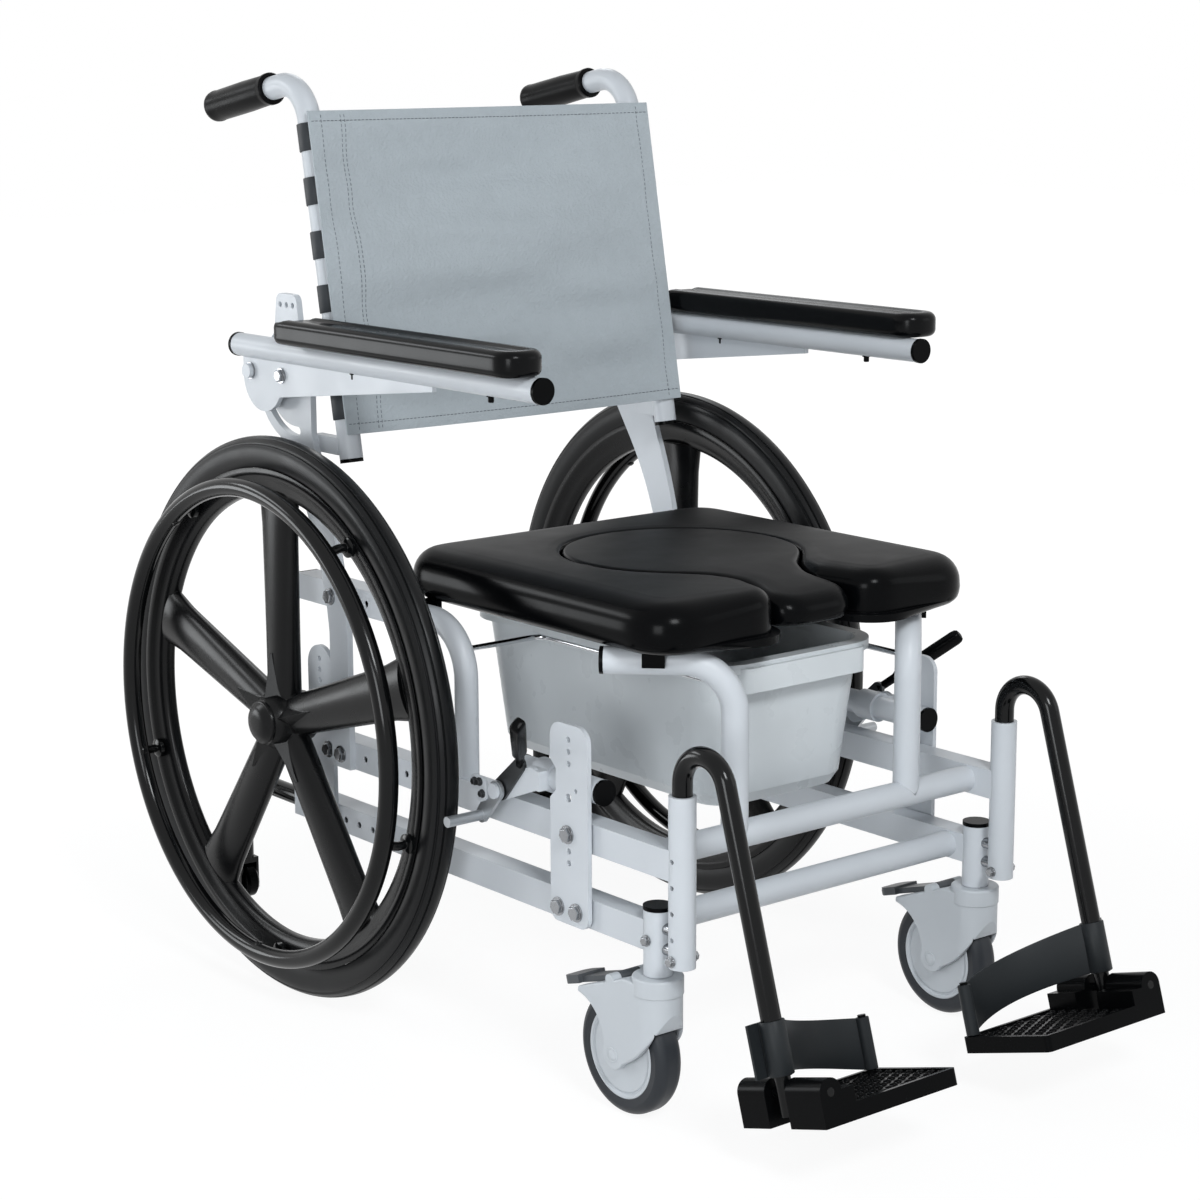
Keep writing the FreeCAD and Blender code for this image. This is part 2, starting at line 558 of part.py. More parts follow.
post_holes = [circle(y, z, s.bolt_radius) for y, z in post_bolts + [pivot]]
post_plate = pad("post_plate", "YZ_Plane", post_outline + stop_slot + tab_holes + post_holes,
                 "post_thickness", (rail_outer_x, 0, 0))

# Back canes with push handles, grips, canvas and straps, in a frame that leans with the canes
lean = math.radians(s.cane_lean)
cane_up = Vector(0, math.sin(lean), math.cos(lean))
cane_back = Vector(0, math.cos(lean), -math.sin(lean))
cane_x = s.rail_x + s.rail_width / 2 - s.cane_radius
cane_foot = Vector(cane_x, s.cane_foot_y, s.cane_foot_z)
cane_block = cut("cane_block",
                 box("cane_block_solid",
                     (f"{rail_outer_x} - {cane_x}", "cane_block_rear_y - cane_foot_y - cane_radius / 2",
                      "cane_block_height"),
                     (cane_x, "cane_foot_y + cane_radius / 2", "cane_block_z")),
                 solid("cane_space", round_bar(cane_foot - cane_up * s.cane_radius,
                                               cane_foot + cane_up * s.canvas_foot,
                                               s.cane_radius + s.running_fit)))
both("side_posts", fuse("side_post", post_plate, cane_block))

cane_corner = cane_foot + cane_up * s.cane_length
handle_tip = cane_corner + cane_back * s.handle_length
cane_path = bent_path([cane_foot, cane_corner, handle_tip], s.cane_bend)
both("back_canes", solid("back_cane", pipe(cane_path, s.cane_radius)))

grip_start = handle_tip - cane_back * (s.grip_length - s.cap_thickness)
grip_end = handle_tip + cane_back * s.cap_thickness
grip = round_bar(grip_start, grip_end, s.grip_radius)
grip = grip.makeFillet(s.grip_radius / 4, grip.Edges)
both("hand_grips", solid("hand_grip", grip.cut(round_bar(grip_start, handle_tip, s.cane_radius))))

strap_reach = s.cane_radius + s.strap_thickness
sag_at_strap = s.canvas_sag * (1 - (cane_x / s.canvas_half_width) ** 2)
canvas_front = strap_reach + s.clearance + sag_at_strap
canvas_back = canvas_front - s.canvas_sag


def canvas_arc(offset):
    """Cross-section of the canvas, hollow towards the user, seen along the canes."""
    edge = s.canvas_half_width
    return [Vector(-edge, -canvas_front - offset, 0), Vector(0, -canvas_back - offset, 0),
            Vector(edge, -canvas_front - offset, 0)]


inner_arc = canvas_arc(0)
outer_arc = canvas_arc(s.canvas_thickness)
canvas_face = Part.Face(Part.Wire(Part.__sortEdges__([
    Part.Arc(*inner_arc).toShape(),
    Part.LineSegment(inner_arc[2], outer_arc[2]).toShape(),
    Part.Arc(*outer_arc).toShape(),
    Part.LineSegment(outer_arc[0], inner_arc[0]).toShape(),
])))
canvas = canvas_face.extrude(Z * s.canvas_height)
canvas.Placement = FreeCAD.Placement(Vector(0, s.cane_foot_y, s.cane_foot_z) + cane_up * s.canvas_foot,
                                     FreeCAD.Rotation(X, -s.cane_lean))
node("back_canvas", solid("canvas", canvas))

straps = []
strap_side = Part.makeBox(2 * s.strap_thickness + s.cap_thickness, 2 * s.cane_length, 3 * s.cane_length,
                          Vector(cane_x + s.cane_radius - s.strap_thickness, 0,
                                 s.cane_foot_z - s.cane_length))
first_strap = s.canvas_foot + s.strap_inset
last_strap = s.cane_length - s.cane_bend - s.strap_end - s.strap_height
strap_pitch = (last_strap - first_strap) / (s.strap_count - 1)
for index in range(int(s.strap_count)):
    low = cane_foot + cane_up * (first_strap + index * strap_pitch)
    high = low + cane_up * s.strap_height
    ring = round_bar(low, high, s.cane_radius + s.strap_thickness)
    ring = ring.cut(round_bar(low, high, s.cane_radius + s.running_fit))
    straps.append(solid(f"canvas_strap_{index}", ring.cut(strap_side)))
both("canvas_straps", *straps)

# Armrests: tube with gusset and stop stud, end caps and pad
arm_z = s.arm_pivot_z + s.arm_rise
arm_length = "arm_rear_y - arm_front_y"
arm_at = ("arm_x", "arm_front_y", "arm_pivot_z + arm_rise")
arm_outer = cylinder("arm_outer", "arm_radius", arm_length, arm_at, Y)
arm_bore = cylinder("arm_bore", "arm_radius - tube_wall", arm_length, arm_at, Y)
stud_y = s.arm_pivot_y + s.stop_radius
gusset_low_z = s.arm_pivot_z - s.gusset_drop
gusset_end_y = stud_y + s.gusset_end
gusset_outline = outline(
    (gusset_end_y, arm_z),
    (s.gusset_tip_y, arm_z),
    (s.gusset_tip_y, arm_z - s.arm_radius - s.gusset_tip_drop),
    (s.arm_pivot_y + s.gusset_corner, gusset_low_z),
    (about_pivot(s.stop_radius + s.gusset_end, -s.gusset_nose), (gusset_end_y, s.arm_pivot_z)),
)
gusset = pad("gusset", "YZ_Plane", gusset_outline + [circle(*pivot, s.bolt_radius + s.running_fit)],
             "gusset_thickness", ("arm_x - gusset_thickness / 2", 0, 0))
stud = cylinder("stop_stud", "stud_radius", "arm_x - rail_x - rail_width / 2 + stud_reach",
                (f"{rail_outer_x} - stud_reach", "arm_pivot_y + stop_radius", "arm_pivot_z"), X)
stud_head = cylinder("stud_head", "bolt_head_radius", "bolt_head_height",
                     ("arm_x + gusset_thickness / 2", "arm_pivot_y + stop_radius", "arm_pivot_z"), X)
arm_frame = cut("arm_frame", fuse("arm_welded", arm_outer, gusset, stud, stud_head), arm_bore)
pair("armrest_frame", arm_frame)

cap_radius = "arm_radius + arm_cap_lip"
arm_caps = fuse(
    "arm_caps",
    cylinder("arm_front_cap", cap_radius, "cap_thickness",
             ("arm_x", "arm_front_y - cap_thickness", "arm_pivot_z + arm_rise"), Y),
    cylinder("arm_rear_cap", cap_radius, "cap_thickness",
             ("arm_x", "arm_rear_y", "arm_pivot_z + arm_rise"), Y))
pair("armrest_caps", arm_caps)


def armrest_pad():
    low_z = arm_z + s.arm_radius + s.clearance
    middle = s.arm_x + s.pad_offset
    front = s.pad_rear_y - s.pad_length
    half = s.pad_width / 2
    sections = [(s.pad_foot_inset, 0), (0, s.pad_foot_rise), (0, s.pad_height - s.pad_shoulder),
                (s.pad_edge_inset, s.pad_height - s.pad_edge_drop), (s.pad_top_inset, s.pad_height)]
    wires = [
        rounded_rectangle(middle - half + inset, middle + half - inset, front + inset, s.pad_rear_y - inset,
                          half - inset - s.pad_nose, low_z + rise)
        for inset, rise in sections
    ]
    return Part.makeLoft(wires, True, True)


pair("armrest_pad", solid("arm_cushion", armrest_pad()))

# Drive wheels
rim_radius = s.wheel_radius - s.tyre_depth
rim_inner = rim_radius - s.rim_depth
half_rim = s.rim_width / 2
half_tyre = s.tyre_width / 2
axle_at = ("wheel_x", "axle_y", "wheel_radius")
tyre = turned("tyre", outline(
    (-half_tyre + s.bead_inset, rim_radius),
    (-half_tyre, rim_radius + s.bead_rise),
    (-half_tyre, s.wheel_radius - s.tread_shoulder),
    ((0, s.wheel_radius), (half_tyre, s.wheel_radius - s.tread_shoulder)),
    (half_tyre, rim_radius + s.bead_rise),
    (half_tyre - s.bead_inset, rim_radius),
), axle_at)
pair("tyre", tyre)

rim = turned("rim", outline(
    (-half_rim, rim_radius),
    (-half_rim, rim_radius - s.rim_lip),
    (-half_rim + s.rim_slope, rim_inner),
    (half_rim - s.rim_slope, rim_inner),
    (half_rim, rim_radius - s.rim_lip),
    (half_rim, rim_radius),
    (half_rim - s.rim_edge, rim_radius),
    (half_rim - s.rim_slope, rim_radius - s.rim_groove),
    (-half_rim + s.rim_slope, rim_radius - s.rim_groove),
    (-half_rim + s.rim_edge, rim_radius),
), axle_at)
axle_point = Vector(s.wheel_x, s.axle_y, s.wheel_radius)


def spoke_section(radius, width, depth):
    """Oval section of the upright spoke at a distance from the axle."""
    centre = axle_point + Z * radius
    if width > depth:
        oval = Part.Ellipse(centre + Y * (width / 2), centre + X * (depth / 2), centre)
    else:
        oval = Part.Ellipse(centre + X * (depth / 2), centre + Y * (width / 2), centre)
    return Part.Wire(oval.toShape())


def spokes():
    """Tapered spokes with a pointed rib on each root, and the hub."""
    spoke = Part.makeLoft([
        spoke_section(0.5 * s.hub_radius, s.spoke_root_width, s.spoke_root_depth),
        spoke_section(rim_inner + s.rim_edge, s.spoke_tip_width, s.spoke_tip_depth),
    ], True, True)
    hub_face = s.wheel_x + s.hub_length / 2
    rib_z = s.wheel_radius + s.rib_root * s.hub_radius
    rib_base = [Vector(hub_face - s.rib_depth, s.axle_y + side * s.rib_half_width, rib_z) for side in (-1, 1)]
    rib_base.append(Vector(hub_face - s.rib_setback, s.axle_y, rib_z))
    rib_end = Vector(s.wheel_x + s.spoke_root_depth / 2 - s.rib_sink, s.axle_y,
                     s.wheel_radius + s.rib_reach * s.hub_radius)
    faces = [Part.Face(Part.makePolygon([*rib_base, rib_base[0]]))]
    for one, two in zip(rib_base, rib_base[1:] + rib_base[:1]):
        faces.append(Part.Face(Part.makePolygon([one, two, rib_end, one])))
    rib = Part.Solid(Part.Shell(faces))
    arm = spoke.fuse(rib)
    hub = Part.makeCylinder(s.hub_radius, s.hub_length, axle_point - X * (s.hub_length / 2), X)
    turn = 360 / s.spoke_count
    arms = []
    for index in range(int(s.spoke_count)):
        copy = arm.copy()
        copy.rotate(axle_point, X, index * turn)
        arms.append(copy)
    bore = Part.makeCylinder(s.axle_radius + s.running_fit, s.hub_length,
                             axle_point - X * (s.hub_length / 2), X)
    return hub.fuse(arms).cut(bore)


pair("wheel", fuse("wheel", rim, solid("spokes", spokes())))

standoff_ring = rim_radius - s.standoff_inset
standoffs = []
for index in range(int(s.spoke_count)):
    angle = math.radians((index + 0.5) * 360 / s.spoke_count)
    standoffs.append(Part.makeCylinder(
        s.standoff_radius, s.handrim_x - s.wheel_x - half_rim - s.standoff_root,
        axle_point + X * half_rim + Vector(0, -math.sin(angle), math.cos(angle)) * standoff_ring, X))
ring = doc.addObject("Part::Torus", "handrim_ring")
bind(ring, Radius1="wheel_radius - handrim_drop", Radius2="handrim_tube_radius")
place(ring, ("handrim_x", "axle_y", "wheel_radius"), X)
pair("handrim", fuse("handrim", ring, solid("standoffs", Part.makeCompound(standoffs))))

hub_cap = turned("hub_cap", outline(
    (0, s.hub_cap_radius),
    ((0.62 * s.hub_cap_height, 0.84 * s.hub_cap_radius), (s.hub_cap_height, 0.5 * s.hub_cap_radius)),
    (s.hub_cap_height, 0),
    (0, 0),
), ("wheel_x + hub_length / 2", "axle_y", "wheel_radius"))
pair("hub_cap", hub_cap)

hub_inner_x = "(wheel_x - hub_length / 2)"
axle = fuse(
    "axle",
    cylinder("axle_shaft", "axle_radius", f"wheel_x + hub_length / 2 - 2 - {rail_outer_x}",
             (rail_outer_x, "axle_y", "wheel_radius"), X),
    cylinder("axle_collar", "axle_radius + collar_wall",
             f"{hub_inner_x} - clearance - {rail_outer_x} - plate_thickness",
             (f"{rail_outer_x} + plate_thickness", "axle_y", "wheel_radius"), X))
both("axles", axle)

# Casters: fork with swivel stem, pedal, disc and tyre
caster_y = s.stem_y + s.caster_trail
pedal_y = s.stem_y + s.pedal_back
pedal_z = s.caster_radius + s.pedal_rise


def caster_fork():
    """Moulded fork: round swivel housing, cheeks swept back to the axle and a horn for the pedal."""
    top = s.fork_top_z
    boss = s.fork_boss
    housing = s.fork_cap_radius
    horn_y = s.stem_y + s.horn_reach
    left = s.rail_x - s.fork_width / 2
    side = Part.Face(Part.Wire(Part.__sortEdges__([curve.toShape() for curve in outline(
        (s.stem_y - housing, top - s.fork_cap_height),
        (s.stem_y - housing, s.horn_z),
        ((s.stem_y - 0.44 * housing, s.caster_radius + housing),
         (caster_y - 0.9 * boss, s.caster_radius - 0.44 * boss)),
        ((caster_y + 0.3 * boss, s.caster_radius - 0.95 * boss),
         (caster_y + 0.9 * boss, s.caster_radius + 0.44 * boss)),
        ((caster_y + housing, s.horn_z - 1.4 * boss), (horn_y, s.horn_z - s.pedal_thickness)),
        (horn_y, s.horn_z),
        (s.stem_y + housing, top - s.fork_cap_height),
    )])))
    side.rotate(ORIGIN, Vector(1, 1, 1), 120)
    side.translate(X * left)
    swivel = Vector(s.rail_x, s.stem_y, 0)
    plan = Part.makeCylinder(s.fork_width / 2, top, swivel, Z).fuse(
        Part.makeBox(s.fork_width, s.horn_reach, top, Vector(left, s.stem_y, 0))).removeSplitter()
    fork = side.extrude(X * s.fork_width).common(plan)
    rims = [edge for edge in fork.Edges
            if edge.BoundBox.XLength < 0.01 and edge.Length > 2 * s.pedal_thickness]
    fork = fork.makeFillet(s.fork_round, rims)
    inner = s.rail_x - s.fork_gap / 2
    slot = Part.makeCylinder(s.caster_radius + s.wheel_room, s.fork_gap,
                             Vector(inner, caster_y, s.caster_radius), X)
    below = Part.makeBox(s.fork_gap, 2 * s.caster_radius, s.caster_radius,
                         Vector(inner, caster_y - s.caster_radius - s.wheel_room, 0))
    cap_z = 2 * (s.caster_radius + s.wheel_room)
    cap = Part.makeCylinder(housing, top - cap_z, swivel + Z * cap_z, Z)
    cap = cap.makeFillet(s.fork_round, [edge for edge in cap.Edges if edge.BoundBox.ZMin > top - 1])
    stem = Part.makeCylinder(s.swivel_radius, s.stem_bottom_z + s.swivel_length - top, swivel + Z * top, Z)
    axle_pin = Part.makeCylinder(s.caster_axle_radius, s.fork_width,
                                 Vector(left, caster_y, s.caster_radius), X)
    pedal_pin = Part.makeCylinder(s.pedal_pin_radius, s.fork_width, Vector(left, pedal_y, pedal_z), X)
    lug_width = (s.fork_width - s.pedal_width) / 2 - s.pedal_side_gap
    lugs = [Part.makeCylinder(s.pedal_lug_radius, lug_width, Vector(low_x, pedal_y, pedal_z), X)
            for low_x in (left, left + s.fork_width - lug_width)]
    pedal_room = Part.makeBox(s.fork_width - 2 * lug_width, s.horn_reach, top,
                              Vector(left + lug_width, s.stem_y + housing + s.wheel_room,
                                     s.horn_z - 2 * s.pedal_lug_radius))
    return fork.cut([slot, below, pedal_room]).fuse([cap, stem, axle_pin, pedal_pin, *lugs])


pair("caster_fork", solid("fork", caster_fork()))


def caster_pedal():
    """Brake pedal: a boss on its pin and a blade that ends in a wider tread."""
    low_x = s.rail_x - s.pedal_width / 2
    pin_start = Vector(low_x, pedal_y, pedal_z)
    boss = Part.makeCylinder(s.pedal_boss, s.pedal_width, pin_start, X)
    blade_start = pin_start - Z * (s.pedal_thickness / 2)
    blade = Part.makeBox(s.pedal_width, s.pedal_length, s.pedal_thickness, blade_start)
    tread = Part.makeBox(s.pedal_width + 2 * s.tread_lip, s.tread_length, s.pedal_thickness + s.tread_lip / 2,
                         blade_start + Vector(-s.tread_lip, s.pedal_length - s.tread_length, 0))
    ends = [edge for edge in tread.Edges if edge.BoundBox.ZLength > s.pedal_thickness
            and edge.BoundBox.YMin > pedal_y + s.pedal_length - 1]
    tread = tread.makeFillet(2 * s.tread_lip, ends)
    for piece in (blade, tread):
        piece.rotate(pin_start, X, -s.pedal_slope)
    pin_hole = Part.makeCylinder(s.pedal_pin_radius + s.running_fit, s.pedal_width, pin_start, X)
    return boss.fuse([blade, tread]).cut(pin_hole)


pair("caster_pedal", solid("pedal", caster_pedal()))

half_caster = s.caster_width / 2
caster_at = ("rail_x", "stem_y + caster_trail", "caster_radius")
disc_bore = s.caster_axle_radius + s.running_fit
caster_disc = turned("caster_disc", outline(
    (-half_caster - s.caster_hub_lip, disc_bore),
    (-half_caster - s.caster_hub_lip, s.caster_hub_radius),
    (-half_caster + s.caster_web_inset, s.caster_web_radius),
    (-half_caster + s.caster_hub_lip, s.caster_disc_radius),
    (half_caster - s.caster_hub_lip, s.caster_disc_radius),
    (half_caster - s.caster_web_inset, s.caster_web_radius),
    (half_caster + s.caster_hub_lip, s.caster_hub_radius),
    (half_caster + s.caster_hub_lip, disc_bore),
), caster_at)
pair("caster_wheel", caster_disc)

caster_tyre = turned("caster_tyre", outline(
    (-half_caster + s.caster_hub_lip, s.caster_disc_radius),
    (-half_caster, s.caster_radius - s.caster_shoulder),
    ((-half_caster + s.caster_round_side, s.caster_radius - s.caster_round_drop),
     (-half_caster + s.caster_crown, s.caster_radius)),
    (half_caster - s.caster_crown, s.caster_radius),
    ((half_caster - s.caster_round_side, s.caster_radius - s.caster_round_drop),
     (half_caster, s.caster_radius - s.caster_shoulder)),
    (half_caster - s.caster_hub_lip, s.caster_disc_radius),
), caster_at)
pair("caster_tyre", caster_tyre)

# Footrests: arched hanger, heel strap and footplate, the last two in a frame that leans with the hanger
hang = math.radians(s.hanger_lean)
hanger_down = Vector(0, -math.sin(hang), -math.cos(hang))
arch_middle = Vector(s.rail_x, s.receiver_y - s.arch_radius, s.arch_z)
arch_start = arch_middle + Y * s.arch_radius
arch_end = arch_middle + Vector(0, -math.cos(hang), math.sin(hang)) * s.arch_radius
hanger_end = arch_end + hanger_down * ((arch_end.z - s.hanger_end_z) / math.cos(hang))
plate_pin = arch_end + hanger_down * ((arch_end.z - s.plate_pin_z) / math.cos(hang))
leaning = FreeCAD.Placement(plate_pin, FreeCAD.Rotation(X, -s.hanger_lean))
hanger_path = Part.Wire([
    Part.LineSegment(Vector(s.rail_x, s.receiver_y, s.hanger_foot_z), arch_start).toShape(),
    Part.Arc(arch_start, arch_middle + Z * s.arch_radius, arch_end).toShape(),
    Part.LineSegment(arch_end, hanger_end).toShape(),
])
end_rise = (hanger_end - plate_pin).Length


def footrest_hanger():
    extension = Part.makeCylinder(s.hanger_radius - s.tube_wall,
                                  end_rise + s.extension_below + s.extension_overlap,
                                  Vector(0, 0, -s.extension_below), Z)
    pin = Part.makeCylinder(s.pin_radius, s.footplate_front + s.footplate_rear,
                            Vector(0, -s.footplate_front, 0), Y)
    lower = extension.fuse(pin)
    lower.Placement = leaning
    return pipe(hanger_path, s.hanger_radius).fuse(lower)


pair("footrest_hanger", solid("hanger", footrest_hanger()))


def footplate():
    """Flat plate, two hinge cheeks on the pin and the heel post."""
    top = -s.footplate_drop
    low = top - s.footplate_thickness
    width = s.footplate_front + s.footplate_rear
    plate = Part.makeBox(s.footplate_inner - s.footplate_outer, width, s.footplate_thickness,
                         Vector(-s.footplate_inner, -s.footplate_front, low))
    uprights = [edge for edge in plate.Edges
                if edge.BoundBox.ZLength > s.footplate_rim and edge.BoundBox.XMax < -s.footplate_inner + 1]
    plate = plate.makeFillet(s.footplate_rim, uprights)
    tread = Part.makeBox(s.footplate_inner - s.footplate_outer - s.footplate_rim, width - 2 * s.footplate_rim,
                         s.tread_depth, Vector(-s.footplate_inner + s.footplate_rim,
                                               s.footplate_rim - s.footplate_front, top - s.tread_depth))
    post_seat = Part.makeCylinder(2 * s.heel_post_radius, s.tread_depth,
                                  Vector(-s.footplate_inner + s.heel_post_radius + s.heel_post_inset,
                                         s.footplate_rear - s.heel_post_radius - s.heel_post_inset,
                                         top - s.tread_depth), Z)
    plate = plate.cut(tread.cut(post_seat))
    pieces = []
    for start, end in ((-s.footplate_front, -s.hinge_gap), (s.hinge_gap, s.footplate_rear)):
        block = Part.makeBox(s.footplate_outer + s.hinge_radius, end - start, -low,
                             Vector(-s.footplate_outer, start, low))
        barrel = Part.makeCylinder(s.hinge_radius, end - start, Vector(0, start, 0), Y)
        pieces += [block, barrel]
    post = Part.makeCylinder(s.heel_post_radius, s.heel_post_height,
                             Vector(-s.footplate_inner + s.heel_post_radius + s.heel_post_inset,
                                    s.footplate_rear - s.heel_post_radius - s.heel_post_inset, top), Z)
    bore = Part.makeCylinder(s.pin_radius + s.running_fit, width, Vector(0, -s.footplate_front, 0), Y)
    shape = plate.fuse([*pieces, post]).cut(bore).removeSplitter()
    shape.Placement = leaning
    return shape


pair("footplate", solid("plate", footplate()))


def heel_strap():
    """Sleeve on the hanger, a strap bowed to the rear and a loop round the heel post."""
    sleeve_radius = s.hanger_radius + s.strap_sleeve_wall
    sleeve_low = end_rise + 1
    half = s.strap_band_height / 2
    sleeve = Part.makeCylinder(sleeve_radius, s.strap_band_height, Vector(0, 0, sleeve_low), Z)
    post_x = -s.footplate_inner + s.heel_post_radius + s.heel_post_inset
    post_y = s.footplate_rear - s.heel_post_radius - s.heel_post_inset
    loop_radius = s.heel_post_radius + s.running_fit + s.strap_band_thickness
    loop_low = -s.footplate_drop + s.clearance
    loop = Part.makeCylinder(loop_radius, s.strap_band_height, Vector(post_x, post_y, loop_low), Z)
    start = Vector(-s.hanger_radius - s.strap_sleeve_wall / 2, 0, sleeve_low + half)
    end = Vector(post_x + s.heel_post_radius + s.strap_band_thickness / 2, post_y, loop_low + half)
    middle = (start + end) * 0.5 + Y * s.strap_bow
    stations = [(start, middle - start), (middle, end - start), (end, end - middle)]
    wires = []
    for centre, along in stations:
        across = Vector(along.y, -along.x, 0).normalize() * (s.strap_band_thickness / 2)
        rise = Z * half
        corners = [centre + across - rise, centre + across + rise,
                   centre - across + rise, centre - across - rise]
        wires.append(Part.makePolygon([*corners, corners[0]]))
    band = Part.makeLoft(wires, True, False)
    hollow = Part.makeCylinder(s.hanger_radius, s.strap_band_height, Vector(0, 0, sleeve_low), Z)
    post_hole = Part.makeCylinder(s.heel_post_radius + s.running_fit, s.strap_band_height,
                                  Vector(post_x, post_y, loop_low), Z)
    shape = sleeve.fuse([loop, band]).cut(hollow).cut(post_hole)
    shape.Placement = leaning
    return shape


pair("heel_strap", solid("strap", heel_strap()))

# Wheel locks: tube on the front plate, clamp with the pivot pin, lever with its grip, and the bar
brake_tube_x = "(rail_x + rail_width / 2 + spacer_length - brake_tube_radius)"
brake_tube_front_y = front_plate_y - s.brake_tube_ahead
brake_tube_rear_y = clamp_y + s.brake_tube_behind
brake_tube_length = brake_tube_rear_y - brake_tube_front_y
brake_at = (brake_tube_x, brake_tube_front_y, "brake_tube_z")
brake_tube = cut("brake_tube",
                 cylinder("brake_tube_outer", "brake_tube_radius", brake_tube_length, brake_at, Y),
                 cylinder("brake_tube_bore", "brake_tube_radius - tube_wall", brake_tube_length, brake_at, Y))
both("brake_tubes", brake_tube)

lever_x = s.brake_plate_x + s.brake_plate_thickness + s.lever_gap
bar_x = lever_x + s.lever_thickness + s.lever_gap
pivot_point = Vector(0, lock_pivot_y, s.lock_pivot_z)
bar_point = pivot_point + Vector(bar_x, s.bar_back, -s.bar_drop)


def link(start, end, start_radius, end_radius, thickness, x):
    """Flat link with round ends, in a plane across X."""
    first = Vector(x, start.y, start.z)
    second = Vector(x, end.y, end.z)
    along = (second - first).normalize()
    across = Vector(0, -along.z, along.y)
    web = Part.Face(Part.makePolygon([
        first + across * start_radius, second + across * end_radius,
        second - across * end_radius, first - across * start_radius, first + across * start_radius,
    ])).extrude(X * thickness)
    ends = [Part.makeCylinder(start_radius, thickness, first, X),
            Part.makeCylinder(end_radius, thickness, second, X)]
    return web.fuse(ends).removeSplitter()


def brake_clamp():
    tube_x = s.rail_x + s.rail_width / 2 + s.spacer_length - s.brake_tube_radius
    low_y = clamp_y - s.clamp_length / 2
    ring_radius = s.brake_tube_radius + s.clamp_wall
    ring_start = Vector(tube_x, low_y, s.brake_tube_z)
    band = Part.makeCylinder(ring_radius, s.clamp_length, ring_start, Y)
    web = Part.makeBox(s.brake_plate_x + s.brake_plate_thickness - tube_x, s.clamp_length, s.clamp_web,
                       Vector(tube_x, low_y, s.brake_tube_z - s.clamp_web / 2))
    arm = link(Vector(0, clamp_y, s.brake_tube_z), pivot_point, s.clamp_arm_radius, s.pivot_arm_radius,
               s.brake_plate_thickness, s.brake_plate_x)
    hole = Part.makeCylinder(s.brake_tube_radius, s.clamp_length, ring_start, Y)
    pin_start = Vector(s.brake_plate_x, lock_pivot_y, s.lock_pivot_z)
    pin_length = bar_x + s.lever_thickness + s.lever_gap - s.brake_plate_x
    pin = Part.makeCylinder(s.bolt_radius, pin_length, pin_start, X)
    head = Part.makeCylinder(s.bolt_head_radius, s.bolt_head_height / 2, pin_start + X * pin_length, X)
    return band.fuse([web, arm, pin, head]).cut(hole)


both("brake_clamps", solid("brake_clamp", brake_clamp()))


def brake_lever():
    knee = pivot_point + Vector(0, -s.lever_reach, s.lever_reach)
    arm = link(pivot_point, knee, s.pivot_arm_radius, s.knee_radius, s.lever_thickness, lever_x)
    start = Vector(lever_x + s.lever_thickness / 2, knee.y, knee.z)
    reach = Vector(s.grip_out, -s.grip_forward, s.grip_up)
    shank = round_bar(start, start + reach, s.lever_grip_radius / 2)
    handle = round_bar(start + reach * s.grip_start, start + reach, s.lever_grip_radius)
    handle = handle.makeFillet(s.lever_grip_radius / 2, handle.Edges)
    hole = Part.makeCylinder(s.bolt_radius + s.running_fit, s.lever_thickness,
                             Vector(lever_x, lock_pivot_y, s.lock_pivot_z), X)
    return arm.fuse([shank, handle]).cut(hole)


pair("brake_lever", solid("lever", brake_lever()))


def brake_bar():
    arm = link(pivot_point, bar_point, s.bar_arm_root, s.bar_arm_tip, s.lever_thickness, bar_x)
    bar = Part.makeCylinder(s.bar_radius, s.bar_length, bar_point, X)
    hole = Part.makeCylinder(s.bolt_radius + s.running_fit, s.lever_thickness,
                             Vector(bar_x, lock_pivot_y, s.lock_pivot_z), X)
    return arm.fuse(bar).cut(hole)


pair("brake_bar", solid("bar", brake_bar()))

# Anti-tippers: tube out of the lower rail with a fork, and its wheel
tipper_wheel = Vector(s.rail_x, s.tipper_y, s.tipper_wheel_z)
tipper_end_z = s.tipper_wheel_z + s.tipper_wheel_radius + s.tipper_gap


def anti_tip_tube():
    path = bent_path([
        Vector(s.rail_x, s.axle_y + s.rail_tail - s.tipper_inside, s.lower_rail_z),
        Vector(s.rail_x, s.tipper_y, s.lower_rail_z),
        Vector(s.rail_x, s.tipper_y, tipper_end_z),
    ], s.tipper_bend)
    half = s.tipper_wheel_width / 2 + s.tipper_side_gap
    outer = half + s.tipper_cheek
    front_y = s.tipper_y - s.tipper_fork_depth / 2
    bridge = Part.makeBox(2 * outer, s.tipper_fork_depth, s.tipper_bridge,
                          Vector(s.rail_x - outer, front_y, tipper_end_z - s.bridge_sink))
    cheeks = [
        Part.makeBox(s.tipper_cheek, s.tipper_fork_depth,
                     tipper_end_z - s.tipper_wheel_z + s.cheek_below + s.cheek_sink,
                     Vector(s.rail_x + low_x, front_y, s.tipper_wheel_z - s.cheek_below))
        for low_x in (-outer, half)
    ]
    pin = Part.makeCylinder(s.tipper_pin_radius, 2 * outer, tipper_wheel - X * outer, X)
    return pipe(path, s.tipper_radius).fuse([bridge, *cheeks, pin])


both("anti_tip_tubes", solid("anti_tip_tube", anti_tip_tube()))

half_tipper = s.tipper_wheel_width / 2
tipper_disc = turned("tipper_disc", outline(
    (-half_tipper, s.tipper_pin_radius + s.running_fit),
    (-half_tipper, s.tipper_wheel_radius - s.tipper_round),
    (-half_tipper + s.tipper_round, s.tipper_wheel_radius),
    (half_tipper - s.tipper_round, s.tipper_wheel_radius),
    (half_tipper, s.tipper_wheel_radius - s.tipper_round),
    (half_tipper, s.tipper_pin_radius + s.running_fit),
), ("rail_x", "tipper_y", "tipper_wheel_z"))
pair("anti_tip_wheel", tipper_disc)

